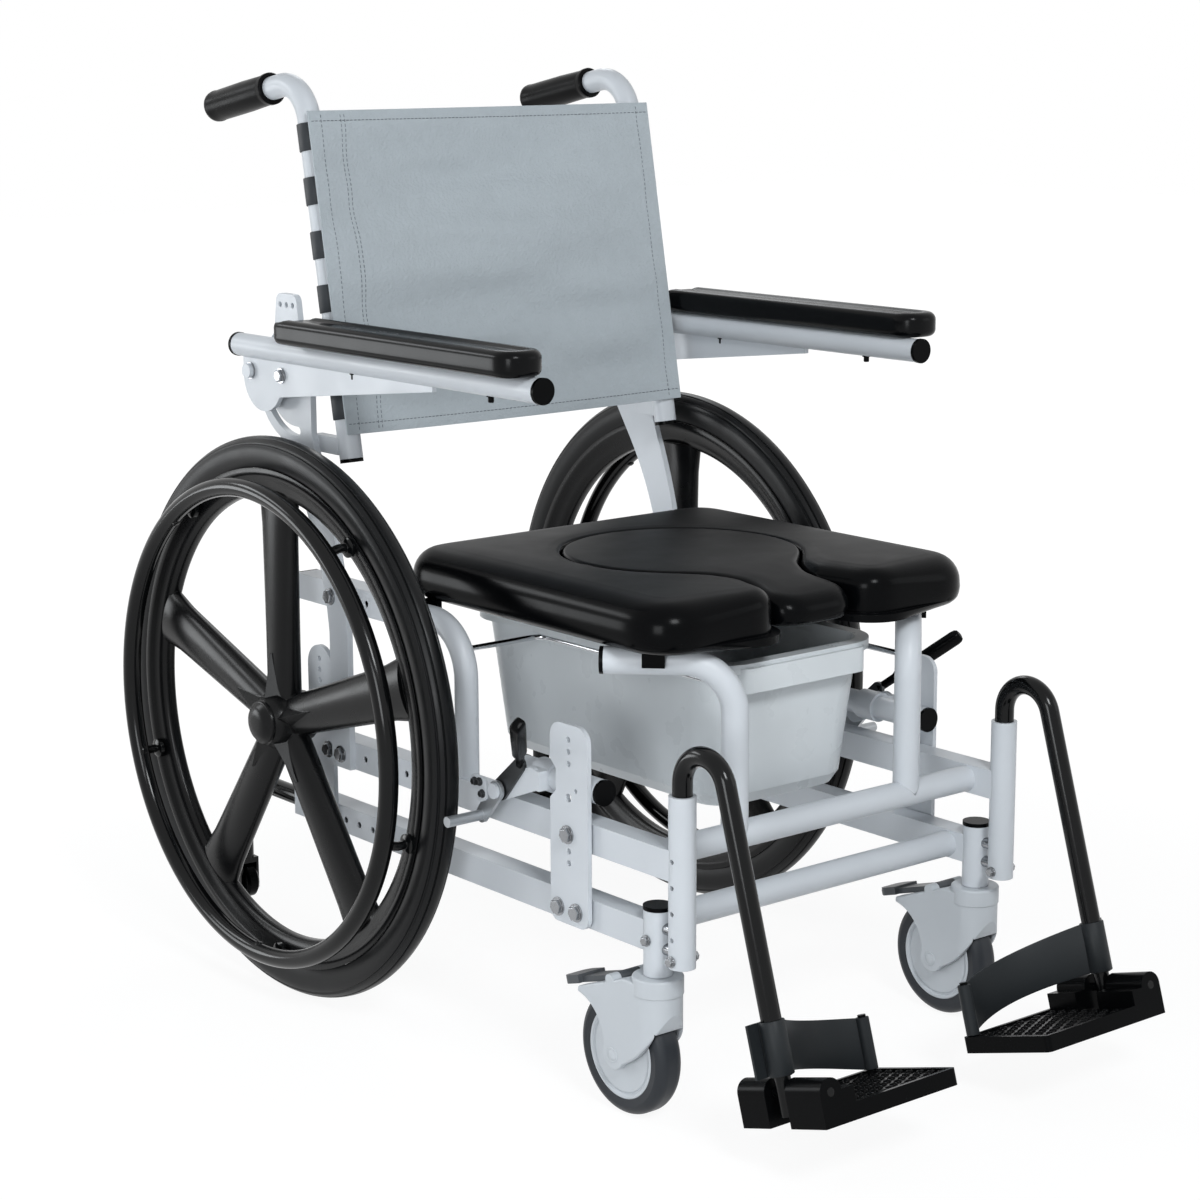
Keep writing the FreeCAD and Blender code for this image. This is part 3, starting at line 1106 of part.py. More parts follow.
# Bolts with nuts through the plates, and the armrest pivots
def bolt(name, y, z, inner_x, outer_x, head_radius="bolt_head_radius"):
    length = f"{outer_x} - ({inner_x})"
    return fuse(
        name,
        cylinder(f"{name}_shaft", "bolt_radius", length, (inner_x, y, z), X),
        cylinder(f"{name}_head", head_radius, "bolt_head_height", (outer_x, y, z), X))


bolts = [bolt(f"front_bolt_{index}", y, z, rail_outer_x, f"{plate_x} + plate_thickness")
         for index, (y, z) in enumerate(spacer_spots)]
bolts += [bolt(f"axle_bolt_{index}", y, z, rail_outer_x, f"{rail_outer_x} + plate_thickness")
          for index, (y, z) in enumerate(axle_bolts)]
bolts += [bolt(f"post_bolt_{index}", y, z, rail_outer_x, f"{rail_outer_x} + post_thickness")
          for index, (y, z) in enumerate(post_bolts)]
arm_bolt = fuse(
    "arm_pivot_bolt",
    bolt("arm_pivot", "arm_pivot_y", "arm_pivot_z", f"{rail_outer_x} - 2",
         "arm_x + gusset_thickness / 2 + clearance", "pivot_head_radius"),
    cylinder("arm_pivot_bush", "pivot_head_radius",
             f"arm_x - gusset_thickness / 2 - clearance - {rail_outer_x} - post_thickness",
             (f"{rail_outer_x} + post_thickness", "arm_pivot_y", "arm_pivot_z"), X))
bolts.append(arm_bolt)
both("frame_bolts", *bolts)

# Black caps on the tube ends
caps = [
    cylinder("stem_cap", "stem_radius + 0.5", "cap_thickness", ("rail_x", "stem_y", "stem_top_z")),
    cylinder("brake_front_cap", "brake_tube_radius + 0.5", "cap_thickness",
             (brake_tube_x, f"{brake_tube_front_y} - cap_thickness", "brake_tube_z"), Y),
    cylinder("brake_rear_cap", "brake_tube_radius + 0.5", "cap_thickness",
             (brake_tube_x, brake_tube_rear_y, "brake_tube_z"), Y),
    box("seat_rail_cap", ("seat_rail_size", "cap_thickness", "seat_rail_size"),
        (seat_rail_low_x, "seat_rail_rear_y", seat_rail_low_z)),
    box("upper_rail_cap", ("rail_width", "cap_thickness", "rail_height"),
        (rail_inner_x, rail_end_y, "upper_rail_z - rail_height / 2")),
]
run_end = Vector(leg_end_x, s.upper_cross_y + leg_reach, leg_run_z)
run_along = Vector(1, 1, 0).normalize()
caps.append(solid("leg_cap", round_bar(run_end, run_end + run_along * s.cap_thickness, s.leg_radius)))
caps.append(solid("cane_cap", round_bar(cane_foot - cane_up * s.cap_thickness, cane_foot, s.cane_radius)))
both("tube_caps", *caps)


# Seat: cushion with a keyhole opening on a board with a ledge, clips, and the lift-out insert
def keyhole(gap, z, front_y):
    """Round opening with a flared neck to the front, drawn in all round by the gap."""
    radius = s.opening_radius
    waist_y = s.opening_y - s.neck_length
    root = radius * math.sqrt(0.5)
    root_y = s.opening_y - root
    flare = (s.neck_mouth - s.neck_waist) / (waist_y - s.seat_front_y)
    mouth = s.neck_waist + flare * (waist_y - front_y)
    bend_x = (s.neck_waist + root) / 2 - s.neck_ease
    bend_y = (waist_y + root_y) / 2 + s.neck_ease / 2
    curves = outline(
        (mouth, front_y),
        (s.neck_waist, waist_y),
        ((bend_x, bend_y), (root, root_y)),
        ((0, s.opening_y + radius), (-root, root_y)),
        ((-bend_x, bend_y), (-s.neck_waist, waist_y)),
        (-mouth, front_y),
    )
    face = Part.Face(Part.Wire(Part.__sortEdges__([curve.toShape() for curve in curves])))
    if gap:
        face = face.makeOffset2D(-gap)
    face.translate(Z * z)
    return face


seat_low = s.seat_support_z + s.clearance
seat_top = seat_low + s.seat_thickness


def slab(inset, z):
    return rounded_rectangle(-s.seat_half_width + inset, s.seat_half_width - inset, s.seat_front_y + inset,
                             s.seat_rear_y - inset, s.seat_corner - inset, z)


def seat_pad():
    rounding = s.seat_round
    sections = [(s.seat_foot_inset, seat_low), (s.seat_foot_ease, seat_low + s.seat_foot_rise),
                (0, seat_low + s.seat_side_rise), (0, seat_top - rounding)]
    for third in (1, 2, 3):
        angle = math.radians(third * 90 / 3)
        sections.append((rounding * (1 - math.cos(angle)), seat_top - rounding * (1 - math.sin(angle))))
    cushion = Part.makeLoft([slab(inset, z) for inset, z in sections], True, True)
    ahead = s.seat_front_y - s.opening_ahead
    opening = keyhole(0, seat_low + s.seat_board, ahead).extrude(Z * s.seat_thickness)
    through = keyhole(s.ledge, seat_low - 1, ahead).extrude(Z * s.seat_thickness)
    return cushion.cut(opening).cut(through)


def clip(centre, along, channel):
    """Clip under the seat, open below, that straddles a support tube."""
    across = Vector(-along.y, along.x, 0)
    half = s.clip_length / 2
    width = s.leg_radius + s.clip_wall
    corners = [centre + along * a + across * b for a, b in
               ((-half, -width), (half, -width), (half, width), (-half, width))]
    block = Part.Face(Part.makePolygon([*corners, corners[0]])).extrude(Z * s.clip_depth)
    return block.cut(channel)


clip_z = seat_low - s.clip_depth
run_middle = Vector((s.leg_x + leg_end_x) / 2 + s.clip_shift,
                    s.upper_cross_y + leg_reach / 2 + s.clip_shift, 0)
channel_half = 4 * s.clip_length
channel_radius = s.leg_radius + s.clearance
run_channel = Part.makeCylinder(channel_radius, 2 * channel_half,
                                run_middle + Z * leg_run_z - run_along * channel_half, run_along)
run_channel = run_channel.fuse(Part.Face(Part.makePolygon([
    run_middle + Z * (clip_z - 1) + run_along * a + Vector(-run_along.y, run_along.x, 0) * b
    for a, b in ((-channel_half, -channel_radius), (channel_half, -channel_radius),
                 (channel_half, channel_radius), (-channel_half, channel_radius),
                 (-channel_half, -channel_radius))])).extrude(Z * (leg_run_z - clip_z + 1)))
front_clip = solid("front_seat_clip", clip(run_middle + Z * clip_z, run_along, run_channel))
leg_channel = Part.makeBox(2 * (s.rear_leg_radius + s.clearance), channel_half, s.clip_depth,
                           Vector(seat_rail_x - s.rear_leg_radius - s.clearance,
                                  s.rear_leg_y + s.rear_leg_bend, clip_z - 1 + s.clearance))
rear_clip_at = Vector(seat_rail_x, s.rear_leg_y + s.rear_leg_bend + s.clip_length, clip_z)
rear_clip = solid("rear_seat_clip", clip(rear_clip_at, Y, leg_channel))
node("seat_pad", solid("seat_cushion", seat_pad()), front_clip, rear_clip, mirrored(front_clip),
     mirrored(rear_clip))


def seat_insert():
    """Keyhole cushion on the ledge, with rounded edges and a tongue that falls to the front."""
    low = seat_low + s.seat_board + s.clearance
    front = s.seat_front_y + s.insert_setback
    top = seat_top - s.insert_low
    body = keyhole(s.insert_gap, low, front).extrude(Z * (top - low))
    fall_y = s.opening_y - s.opening_radius * math.sqrt(0.5)
    wedge = Part.Face(Part.makePolygon([
        Vector(-s.opening_radius, fall_y, top), Vector(-s.opening_radius, front, top - s.tongue_drop),
        Vector(-s.opening_radius, front, top + s.tongue_drop), Vector(-s.opening_radius, fall_y, top),
    ])).extrude(X * (2 * s.opening_radius))
    body = body.cut(wedge)
    rim = [edge for edge in body.Edges if edge.BoundBox.ZMin > low + 1 and edge.BoundBox.YMax > fall_y + 1]
    return body.makeFillet(s.insert_round, rim)


node("seat_insert", solid("insert", seat_insert()))

# Pan with its rim and front handle, and the wire carrier it hangs in
rim_low = s.wire_z + s.wire_radius + s.clearance


def pan():
    def basin(inset, z, narrow):
        return rounded_rectangle(-s.pan_half_width + narrow + inset, s.pan_half_width - narrow - inset,
                                 s.pan_front_y + narrow + inset, s.pan_rear_y - narrow - inset,
                                 s.pan_corner - inset, z)

    top = rim_low + s.rim_thickness
    floor = rim_low - s.pan_depth
    outer = Part.makeLoft([basin(s.pan_foot_inset, floor, s.pan_taper),
                           basin(0, floor + s.pan_foot_rise, s.pan_taper), basin(0, rim_low, 0)], True, True)
    rim_plate = Part.Face(basin(-s.rim_overhang, rim_low, 0)).extrude(Z * s.rim_thickness)
    handle = Part.makeBox(2 * s.pan_handle_half_width, s.pan_handle_depth, s.pan_handle_height,
                          Vector(-s.pan_handle_half_width, s.pan_front_y - s.pan_handle_depth,
                                 top - s.pan_handle_drop - s.pan_handle_height))
    ends = [edge for edge in handle.Edges
            if edge.BoundBox.ZLength > 1 and edge.BoundBox.YMax < s.pan_front_y - 1]
    handle = handle.makeFillet(s.pan_handle_depth * 0.7, ends)
    inner = Part.makeLoft([basin(s.pan_foot_inset + s.pan_wall, floor + s.pan_wall, s.pan_taper),
                           basin(s.pan_wall, floor + s.pan_foot_rise + s.pan_wall, s.pan_taper),
                           basin(s.pan_wall, rim_low, 0)], True, True)
    mouth = Part.Face(basin(s.pan_wall, rim_low, 0)).extrude(Z * s.rim_thickness)
    return outer.fuse([rim_plate, handle]).cut(inner).cut(mouth)


node("pan", solid("pan_body", pan()))

bend_rise = s.wire_z - (seat_rail_z - s.rear_leg_bend)
leg_shift = s.rear_leg_bend - math.sqrt(s.rear_leg_bend ** 2 - bend_rise ** 2)
wire_end_y = s.rear_leg_y + leg_shift
wire_path = bent_path([
    Vector(s.wire_x, s.upper_cross_y, s.wire_z),
    Vector(s.wire_x, wire_end_y, s.wire_z),
    Vector(seat_rail_x, wire_end_y, s.wire_z),
], s.wire_bend)
legs = [rod(leg_path, s.leg_radius), rod(rear_leg_path, s.rear_leg_radius)]
wire = rod(wire_path, s.wire_radius).cut(legs)
both("pan_carrier", solid("carrier_wire", wire))

# Check and write every sub-part
doc.recompute()
failed = [item.Name for item in doc.Objects if {"Invalid", "Error"} & set(item.State)]
failed += [item.Label for item in nodes if item.Shape.isNull() or not item.Shape.isValid()]
if failed:
    raise RuntimeError(f"failed: {failed}")
os.makedirs("parts", exist_ok=True)
for item in nodes:
    item.Shape.exportStep(f"parts/{item.Label}.step")
    print(item.Label, len(item.Shape.Solids), round(item.Shape.Volume))
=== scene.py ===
import json
import math

import bmesh
import bpy
from mathutils import Matrix, Vector, noise
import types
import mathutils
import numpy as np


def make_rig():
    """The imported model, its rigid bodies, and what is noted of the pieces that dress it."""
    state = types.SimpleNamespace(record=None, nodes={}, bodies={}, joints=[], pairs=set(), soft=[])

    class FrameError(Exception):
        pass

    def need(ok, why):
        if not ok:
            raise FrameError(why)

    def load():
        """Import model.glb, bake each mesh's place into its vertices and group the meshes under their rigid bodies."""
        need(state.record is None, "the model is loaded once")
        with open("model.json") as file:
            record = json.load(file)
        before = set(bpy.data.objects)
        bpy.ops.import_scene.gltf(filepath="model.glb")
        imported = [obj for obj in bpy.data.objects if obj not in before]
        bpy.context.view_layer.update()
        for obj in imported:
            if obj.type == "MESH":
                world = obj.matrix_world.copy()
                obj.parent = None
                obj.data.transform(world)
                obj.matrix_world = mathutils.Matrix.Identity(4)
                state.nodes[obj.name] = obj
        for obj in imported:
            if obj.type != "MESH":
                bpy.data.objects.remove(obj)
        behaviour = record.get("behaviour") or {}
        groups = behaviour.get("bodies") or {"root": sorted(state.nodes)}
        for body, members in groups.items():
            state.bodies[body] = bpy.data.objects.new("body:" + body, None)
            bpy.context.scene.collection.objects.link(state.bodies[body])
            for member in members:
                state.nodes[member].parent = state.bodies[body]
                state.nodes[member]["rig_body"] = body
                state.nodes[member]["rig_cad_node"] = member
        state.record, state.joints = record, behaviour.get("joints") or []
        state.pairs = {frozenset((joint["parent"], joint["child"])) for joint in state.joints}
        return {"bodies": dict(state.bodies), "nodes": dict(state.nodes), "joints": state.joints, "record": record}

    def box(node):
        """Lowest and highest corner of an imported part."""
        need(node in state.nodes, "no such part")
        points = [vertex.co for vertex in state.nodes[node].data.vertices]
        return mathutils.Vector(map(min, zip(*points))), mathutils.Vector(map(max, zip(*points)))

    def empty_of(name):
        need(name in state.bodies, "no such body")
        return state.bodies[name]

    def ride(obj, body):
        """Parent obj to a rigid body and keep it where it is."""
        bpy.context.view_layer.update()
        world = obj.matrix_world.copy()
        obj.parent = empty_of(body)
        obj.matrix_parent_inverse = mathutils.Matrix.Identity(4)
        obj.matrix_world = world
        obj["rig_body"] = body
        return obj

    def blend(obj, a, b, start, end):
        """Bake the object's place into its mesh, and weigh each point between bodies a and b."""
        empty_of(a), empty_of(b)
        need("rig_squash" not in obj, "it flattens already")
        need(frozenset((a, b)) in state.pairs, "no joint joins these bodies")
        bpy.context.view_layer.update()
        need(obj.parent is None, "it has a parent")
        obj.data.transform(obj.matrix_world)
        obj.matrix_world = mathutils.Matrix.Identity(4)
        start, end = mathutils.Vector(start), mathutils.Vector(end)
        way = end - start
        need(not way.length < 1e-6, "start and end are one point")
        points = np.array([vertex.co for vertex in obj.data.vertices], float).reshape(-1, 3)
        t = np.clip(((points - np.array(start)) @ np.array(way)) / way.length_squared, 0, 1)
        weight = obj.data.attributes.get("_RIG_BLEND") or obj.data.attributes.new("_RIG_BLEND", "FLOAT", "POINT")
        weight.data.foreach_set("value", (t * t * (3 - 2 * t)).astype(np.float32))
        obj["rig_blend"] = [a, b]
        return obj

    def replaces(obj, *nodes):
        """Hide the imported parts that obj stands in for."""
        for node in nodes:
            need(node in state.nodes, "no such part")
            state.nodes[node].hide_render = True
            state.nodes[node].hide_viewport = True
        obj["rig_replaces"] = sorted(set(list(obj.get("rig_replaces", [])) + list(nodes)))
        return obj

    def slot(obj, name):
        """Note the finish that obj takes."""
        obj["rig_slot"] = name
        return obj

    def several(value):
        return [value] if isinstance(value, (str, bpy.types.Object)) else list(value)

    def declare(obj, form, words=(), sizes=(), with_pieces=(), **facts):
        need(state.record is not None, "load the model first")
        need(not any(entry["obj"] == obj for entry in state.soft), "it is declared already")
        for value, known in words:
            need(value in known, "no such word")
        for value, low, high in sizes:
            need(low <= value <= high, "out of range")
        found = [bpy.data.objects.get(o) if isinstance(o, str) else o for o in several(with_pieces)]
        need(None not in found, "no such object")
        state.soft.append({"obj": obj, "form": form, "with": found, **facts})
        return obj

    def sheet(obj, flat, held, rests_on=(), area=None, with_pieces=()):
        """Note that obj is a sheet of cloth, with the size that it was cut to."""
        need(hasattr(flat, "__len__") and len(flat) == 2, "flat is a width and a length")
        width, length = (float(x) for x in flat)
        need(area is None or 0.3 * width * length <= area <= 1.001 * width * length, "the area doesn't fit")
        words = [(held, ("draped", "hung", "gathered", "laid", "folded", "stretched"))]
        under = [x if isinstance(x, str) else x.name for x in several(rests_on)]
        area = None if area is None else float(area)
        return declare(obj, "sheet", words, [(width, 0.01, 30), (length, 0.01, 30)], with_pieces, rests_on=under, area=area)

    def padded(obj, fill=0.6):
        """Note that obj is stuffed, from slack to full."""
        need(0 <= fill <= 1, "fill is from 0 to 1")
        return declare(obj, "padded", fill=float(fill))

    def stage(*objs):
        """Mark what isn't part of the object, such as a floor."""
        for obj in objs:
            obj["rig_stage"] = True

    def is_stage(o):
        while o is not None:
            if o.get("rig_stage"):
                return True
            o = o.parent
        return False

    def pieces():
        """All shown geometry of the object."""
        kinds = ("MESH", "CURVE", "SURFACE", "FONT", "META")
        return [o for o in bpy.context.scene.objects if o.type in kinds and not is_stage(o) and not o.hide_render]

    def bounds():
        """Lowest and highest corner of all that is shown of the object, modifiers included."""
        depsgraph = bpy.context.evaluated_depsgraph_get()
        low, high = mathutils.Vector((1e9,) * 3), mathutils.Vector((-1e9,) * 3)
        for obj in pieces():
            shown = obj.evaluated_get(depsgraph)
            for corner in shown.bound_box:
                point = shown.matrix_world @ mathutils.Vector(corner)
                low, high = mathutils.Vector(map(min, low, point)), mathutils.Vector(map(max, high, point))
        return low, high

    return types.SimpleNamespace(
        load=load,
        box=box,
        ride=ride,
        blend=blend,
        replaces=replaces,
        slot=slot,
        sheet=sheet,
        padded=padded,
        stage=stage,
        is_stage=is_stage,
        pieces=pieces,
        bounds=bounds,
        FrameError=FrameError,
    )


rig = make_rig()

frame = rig.load()
cad_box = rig.bounds()
nodes = frame["nodes"]
joints = {joint["name"]: joint for joint in frame["joints"]}
SIDES = {"left": 1, "right": -1}
X = Vector((1, 0, 0))
Y = Vector((0, 1, 0))
Z = Vector((0, 0, 1))


# Materials
def surface(name, colour, roughness, metallic=0.0, sheen=0.0, shine=0.5, grain=900.0, bump=0.1, depth=0.0002,
            tint=0.06, tint_scale=9.0, wear=0.06, bevel=0.0007, matt_top=0.0):
    """Procedural finish: slow tint, uneven gloss, fine grain as bump, softened edges, a duller upper side."""
    made = bpy.data.materials.new(name)
    made.use_nodes = True
    tree = made.node_tree
    shader = tree.nodes["Principled BSDF"]
    shader.inputs["Metallic"].default_value = metallic
    shader.inputs["Sheen Weight"].default_value = sheen
    shader.inputs["Specular IOR Level"].default_value = shine
    place = tree.nodes.new("ShaderNodeTexCoord")

    def cloud(scale, detail):
        node = tree.nodes.new("ShaderNodeTexNoise")
        node.inputs["Scale"].default_value = scale
        node.inputs["Detail"].default_value = detail
        tree.links.new(place.outputs["Object"], node.inputs["Vector"])
        return node.outputs["Fac"]

    def spread(factor, low, high, start=0.3, stop=0.7):
        """Maps start to stop onto low to high; as given, start and stop are where most of the noise lies."""
        node = tree.nodes.new("ShaderNodeMapRange")
        node.inputs["From Min"].default_value = start
        node.inputs["From Max"].default_value = stop
        node.inputs["To Min"].default_value = low
        node.inputs["To Max"].default_value = high
        tree.links.new(factor, node.inputs["Value"])
        return node.outputs["Result"]

    mix = tree.nodes.new("ShaderNodeMix")
    mix.data_type = "RGBA"
    mix.inputs["A"].default_value = (*[max(0.0, c * (1 - tint)) for c in colour], 1)
    mix.inputs["B"].default_value = (*[min(1.0, c * (1 + tint)) for c in colour], 1)
    tree.links.new(spread(cloud(tint_scale, 4), 0, 1), mix.inputs["Factor"])
    tree.links.new(mix.outputs["Result"], shader.inputs["Base Color"])
    gloss = spread(cloud(tint_scale * 3.1, 5), max(0.02, roughness - wear), roughness + wear)
    if matt_top:
        facing = tree.nodes.new("ShaderNodeSeparateXYZ")
        tree.links.new(place.outputs["Normal"], facing.inputs["Vector"])
        total = tree.nodes.new("ShaderNodeMath")
        tree.links.new(gloss, total.inputs[0])
        tree.links.new(spread(facing.outputs["Z"], 0, matt_top, start=0.6, stop=0.98), total.inputs[1])
        gloss = total.outputs["Value"]
    tree.links.new(gloss, shader.inputs["Roughness"])
    soft_edge = tree.nodes.new("ShaderNodeBevel")
    soft_edge.samples = 4
    soft_edge.inputs["Radius"].default_value = bevel
    relief = tree.nodes.new("ShaderNodeBump")
    relief.inputs["Strength"].default_value = bump
    relief.inputs["Distance"].default_value = depth
    tree.links.new(cloud(grain, 3), relief.inputs["Height"])
    tree.links.new(soft_edge.outputs["Normal"], relief.inputs["Normal"])
    tree.links.new(relief.outputs["Normal"], shader.inputs["Normal"])
    return made


FINISH = {
    "white_frame": surface("powder_coat_white", (0.60, 0.63, 0.665), 0.36, shine=0.35, grain=650, bump=0.06,
                           tint=0.025),
    "grey_metal": surface("satin_grey_metal", (0.40, 0.42, 0.44), 0.34, metallic=0.7),
    "black_metal": surface("gloss_black_paint", (0.0025, 0.0028, 0.0031), 0.14, shine=0.2, grain=500, bump=0.02,
                           tint=0.2, wear=0.02),
    "steel": surface("zinc_steel", (0.30, 0.31, 0.325), 0.22, metallic=1.0, grain=1500, tint=0.1),
    "dark_steel": surface("dark_steel", (0.05, 0.053, 0.056), 0.34, metallic=0.8, grain=1500, bump=0.15),
    "chrome_wire": surface("chrome", (0.60, 0.61, 0.63), 0.12, metallic=1.0, grain=800, bump=0.04),
    "black_plastic": surface("moulded_black", (0.002, 0.0022, 0.0025), 0.24, shine=0.045, grain=1300, bump=0.06,
                             tint=0.2, wear=0.03),
    "grey_plastic": surface("moulded_grey", (0.55, 0.58, 0.61), 0.40, shine=0.35, grain=1300, bump=0.08,
                            tint=0.025),
    "white_plastic": surface("pan_white", (0.64, 0.675, 0.695), 0.30, shine=0.35, grain=700, bump=0.05,
                             tint=0.025),
    "black_rubber": surface("grip_rubber", (0.003, 0.0031, 0.0034), 0.32, shine=0.06, grain=1800, bump=0.12,
                            tint=0.15),
    "black_cushion": surface("skinned_foam", (0.0014, 0.0016, 0.0020), 0.2, shine=0.055, grain=700, bump=0.05,
                             tint=0.15, wear=0.02, matt_top=0.24),
    "arm_skin": surface("arm_foam", (0.0022, 0.0024, 0.0028), 0.21, shine=0.1, grain=700, bump=0.05, tint=0.15,
                        wear=0.02, matt_top=0.05),
    "pedal_grey": surface("pedal_grey", (0.075, 0.081, 0.088), 0.4, shine=0.25, grain=1300, bump=0.08),
    "wheel_black": surface("wheel_nylon", (0.003, 0.0032, 0.0036), 0.26, shine=0.17, grain=1300, bump=0.05,
                           tint=0.2, wear=0.03),
    "tyre": surface("tyre_rubber", (0.005, 0.0054, 0.006), 0.34, shine=0.16, grain=1100, tint=0.15, wear=0.05),
    "caster_rubber": surface("caster_tyre_rubber", (0.028, 0.031, 0.036), 0.42, shine=0.2, grain=1100),
    "grey_canvas": surface("woven_canvas", (0.44, 0.485, 0.515), 0.82, sheen=0.1, shine=0.2, grain=260, bump=0.8,
                           depth=0.0014, tint=0.02, tint_scale=60, bevel=0.0003),
    "dark_web": surface("dark_webbing", (0.030, 0.034, 0.039), 0.5, shine=0.25, bump=0.3, tint=0.1),
    "heel_web": surface("heel_strap_web", (0.013, 0.0155, 0.0175), 0.5, shine=0.2, grain=700, bump=0.12,
                        tint=0.1),
    "thread": surface("thread", (0.17, 0.19, 0.21), 0.7, grain=2500, bump=0.2),
}

NODE_SHARP_ANGLE = math.radians(32)
slot_of = {row["node"]: row["material_slot"] for row in frame["record"]["subparts"]}
for name, item in nodes.items():
    item.data.materials.clear()
    item.data.materials.append(FINISH[slot_of[name]])
    item.data.shade_smooth()
    item.data.set_sharp_from_angle(angle=NODE_SHARP_ANGLE)
for side in SIDES:
    nodes[f"{side}_caster_pedal"].data.materials[0] = FINISH["pedal_grey"]


# Mesh helpers
def piece(name, verts, faces, finish, body, replaces=(), slot=None, smooth=True, angle=40):
    """Mesh with its normals outwards and a finish, which rides a body; edges sharper than angle stay sharp."""
    mesh = bpy.data.meshes.new(name)
    mesh.from_pydata([tuple(v) for v in verts], [], faces)
    work = bmesh.new()
    work.from_mesh(mesh)
    bmesh.ops.recalc_face_normals(work, faces=work.faces)
    work.to_mesh(mesh)
    work.free()
    if smooth:
        mesh.shade_smooth()
        mesh.set_sharp_from_angle(angle=math.radians(angle))
    item = bpy.data.objects.new(name, mesh)
    bpy.context.scene.collection.objects.link(item)
    item.data.materials.append(FINISH[finish])
    if body:
        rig.ride(item, body)
    if replaces:
        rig.replaces(item, *replaces)
    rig.slot(item, slot or finish)
    return item


def weld(mesh):
    """Joins vertices that lie together and closes the holes that are left."""
    work = bmesh.new()
    work.from_mesh(mesh)
    bmesh.ops.remove_doubles(work, verts=work.verts, dist=0.00001)
    bmesh.ops.holes_fill(work, edges=work.edges)
    bmesh.ops.recalc_face_normals(work, faces=work.faces)
    work.to_mesh(mesh)
    work.free()


def circle(centre, side, other, radius, segments):
    """Points round a centre, in the plane of two unit vectors."""
    turns = (math.tau * k / segments for k in range(segments))
    return [centre + (side * math.cos(t) + other * math.sin(t)) * radius for t in turns]


def arc(centre, radius, start, end, steps):
    """Flat points on an arc, angles in degrees."""
    angles = [math.radians(start + (end - start) * k / steps) for k in range(steps + 1)]
    return [(centre[0] + radius * math.cos(a), centre[1] + radius * math.sin(a)) for a in angles]


def mirrored(points):
    """The same points with their first value turned over."""
    return [(-first, *rest) for first, *rest in points]


def sleeve(inner, outer, tall, drop, run):
    """Profile of a closed sleeve whose outer edges fall by drop over run."""
    return [(0, inner), (0, outer - drop), (run, outer), (tall - run, outer), (tall, outer - drop), (tall, inner)]


class Shape:
    """Collects vertices and faces of several forms into one mesh."""

    def __init__(self):
        self.verts = []
        self.faces = []

    def add(self, verts, faces):
        start = len(self.verts)
        self.verts += [Vector(v) for v in verts]
        self.faces += [tuple(start + i for i in face) for face in faces]

    def rings(self, rings, closed=False, caps=True):
        """Skin over rings of equally many points."""
        count = len(rings[0])
        verts = [v for ring in rings for v in ring]
        faces = []
        pairs = [(i, i + 1) for i in range(len(rings) - 1)]
        if closed:
            pairs.append((len(rings) - 1, 0))
        for a, b in pairs:
            for k in range(count):
                n = (k + 1) % count
                faces.append((a * count + k, a * count + n, b * count + n, b * count + k))
        if caps and not closed:
            faces.append(tuple(range(count)))
            faces.append(tuple((len(rings) - 1) * count + k for k in range(count)))
        self.add(verts, faces)

    def lathe(self, centre, axis, profile, segments=64, closed=False):
        """Turns (along, radius) points round an axis; closed joins the last point to the first."""
        axis = Vector(axis).normalized()
        side = axis.orthogonal().normalized()
        other = axis.cross(side)
        self.rings([circle(Vector(centre) + axis * along, side, other, max(radius, 1e-5), segments)
                    for along, radius in profile], closed=closed)

    def tube(self, points, radius, segments):
        """Round bar along points."""
        points = [Vector(p) for p in points]
        side = None
        rings = []
        for i, here in enumerate(points):
            ahead = (points[min(i + 1, len(points) - 1)] - points[max(i - 1, 0)]).normalized()
            side = ahead.orthogonal() if side is None else side - ahead * side.dot(ahead)
            side.normalize()
            other = ahead.cross(side)
            rings.append(circle(here, side, other, radius, segments))
        self.rings(rings)

    def hex_head(self, at, axis, across, height):
        """Hexagon head with a turned chamfer on a washer."""
        axis = Vector(axis).normalized()
        side = axis.orthogonal().normalized()
        other = axis.cross(side)
        radius = across / math.sqrt(3)
        washer, washer_thick = radius * 1.22, 0.0014
        self.lathe(at, axis, [(0, washer), (washer_thick, washer), (washer_thick, 0.001)], 28)
        self.rings([circle(Vector(at) + axis * along, side, other, radius * scale, 6)
                    for along, scale in ((0.001, 1), (height * 0.86, 1), (height, 0.82))])

    def make(self, name, finish, body, **rest):
        return piece(name, self.verts, self.faces, finish, body, **rest)


# Drive wheels: tyre with grooves, five-spoke wheel with fins round the hub, push rim, hub cap
SPOKES = 5
TYRE_DEPTH = 0.033
RIM_HALF = 0.014
HANDRIM_TUBE = 0.010


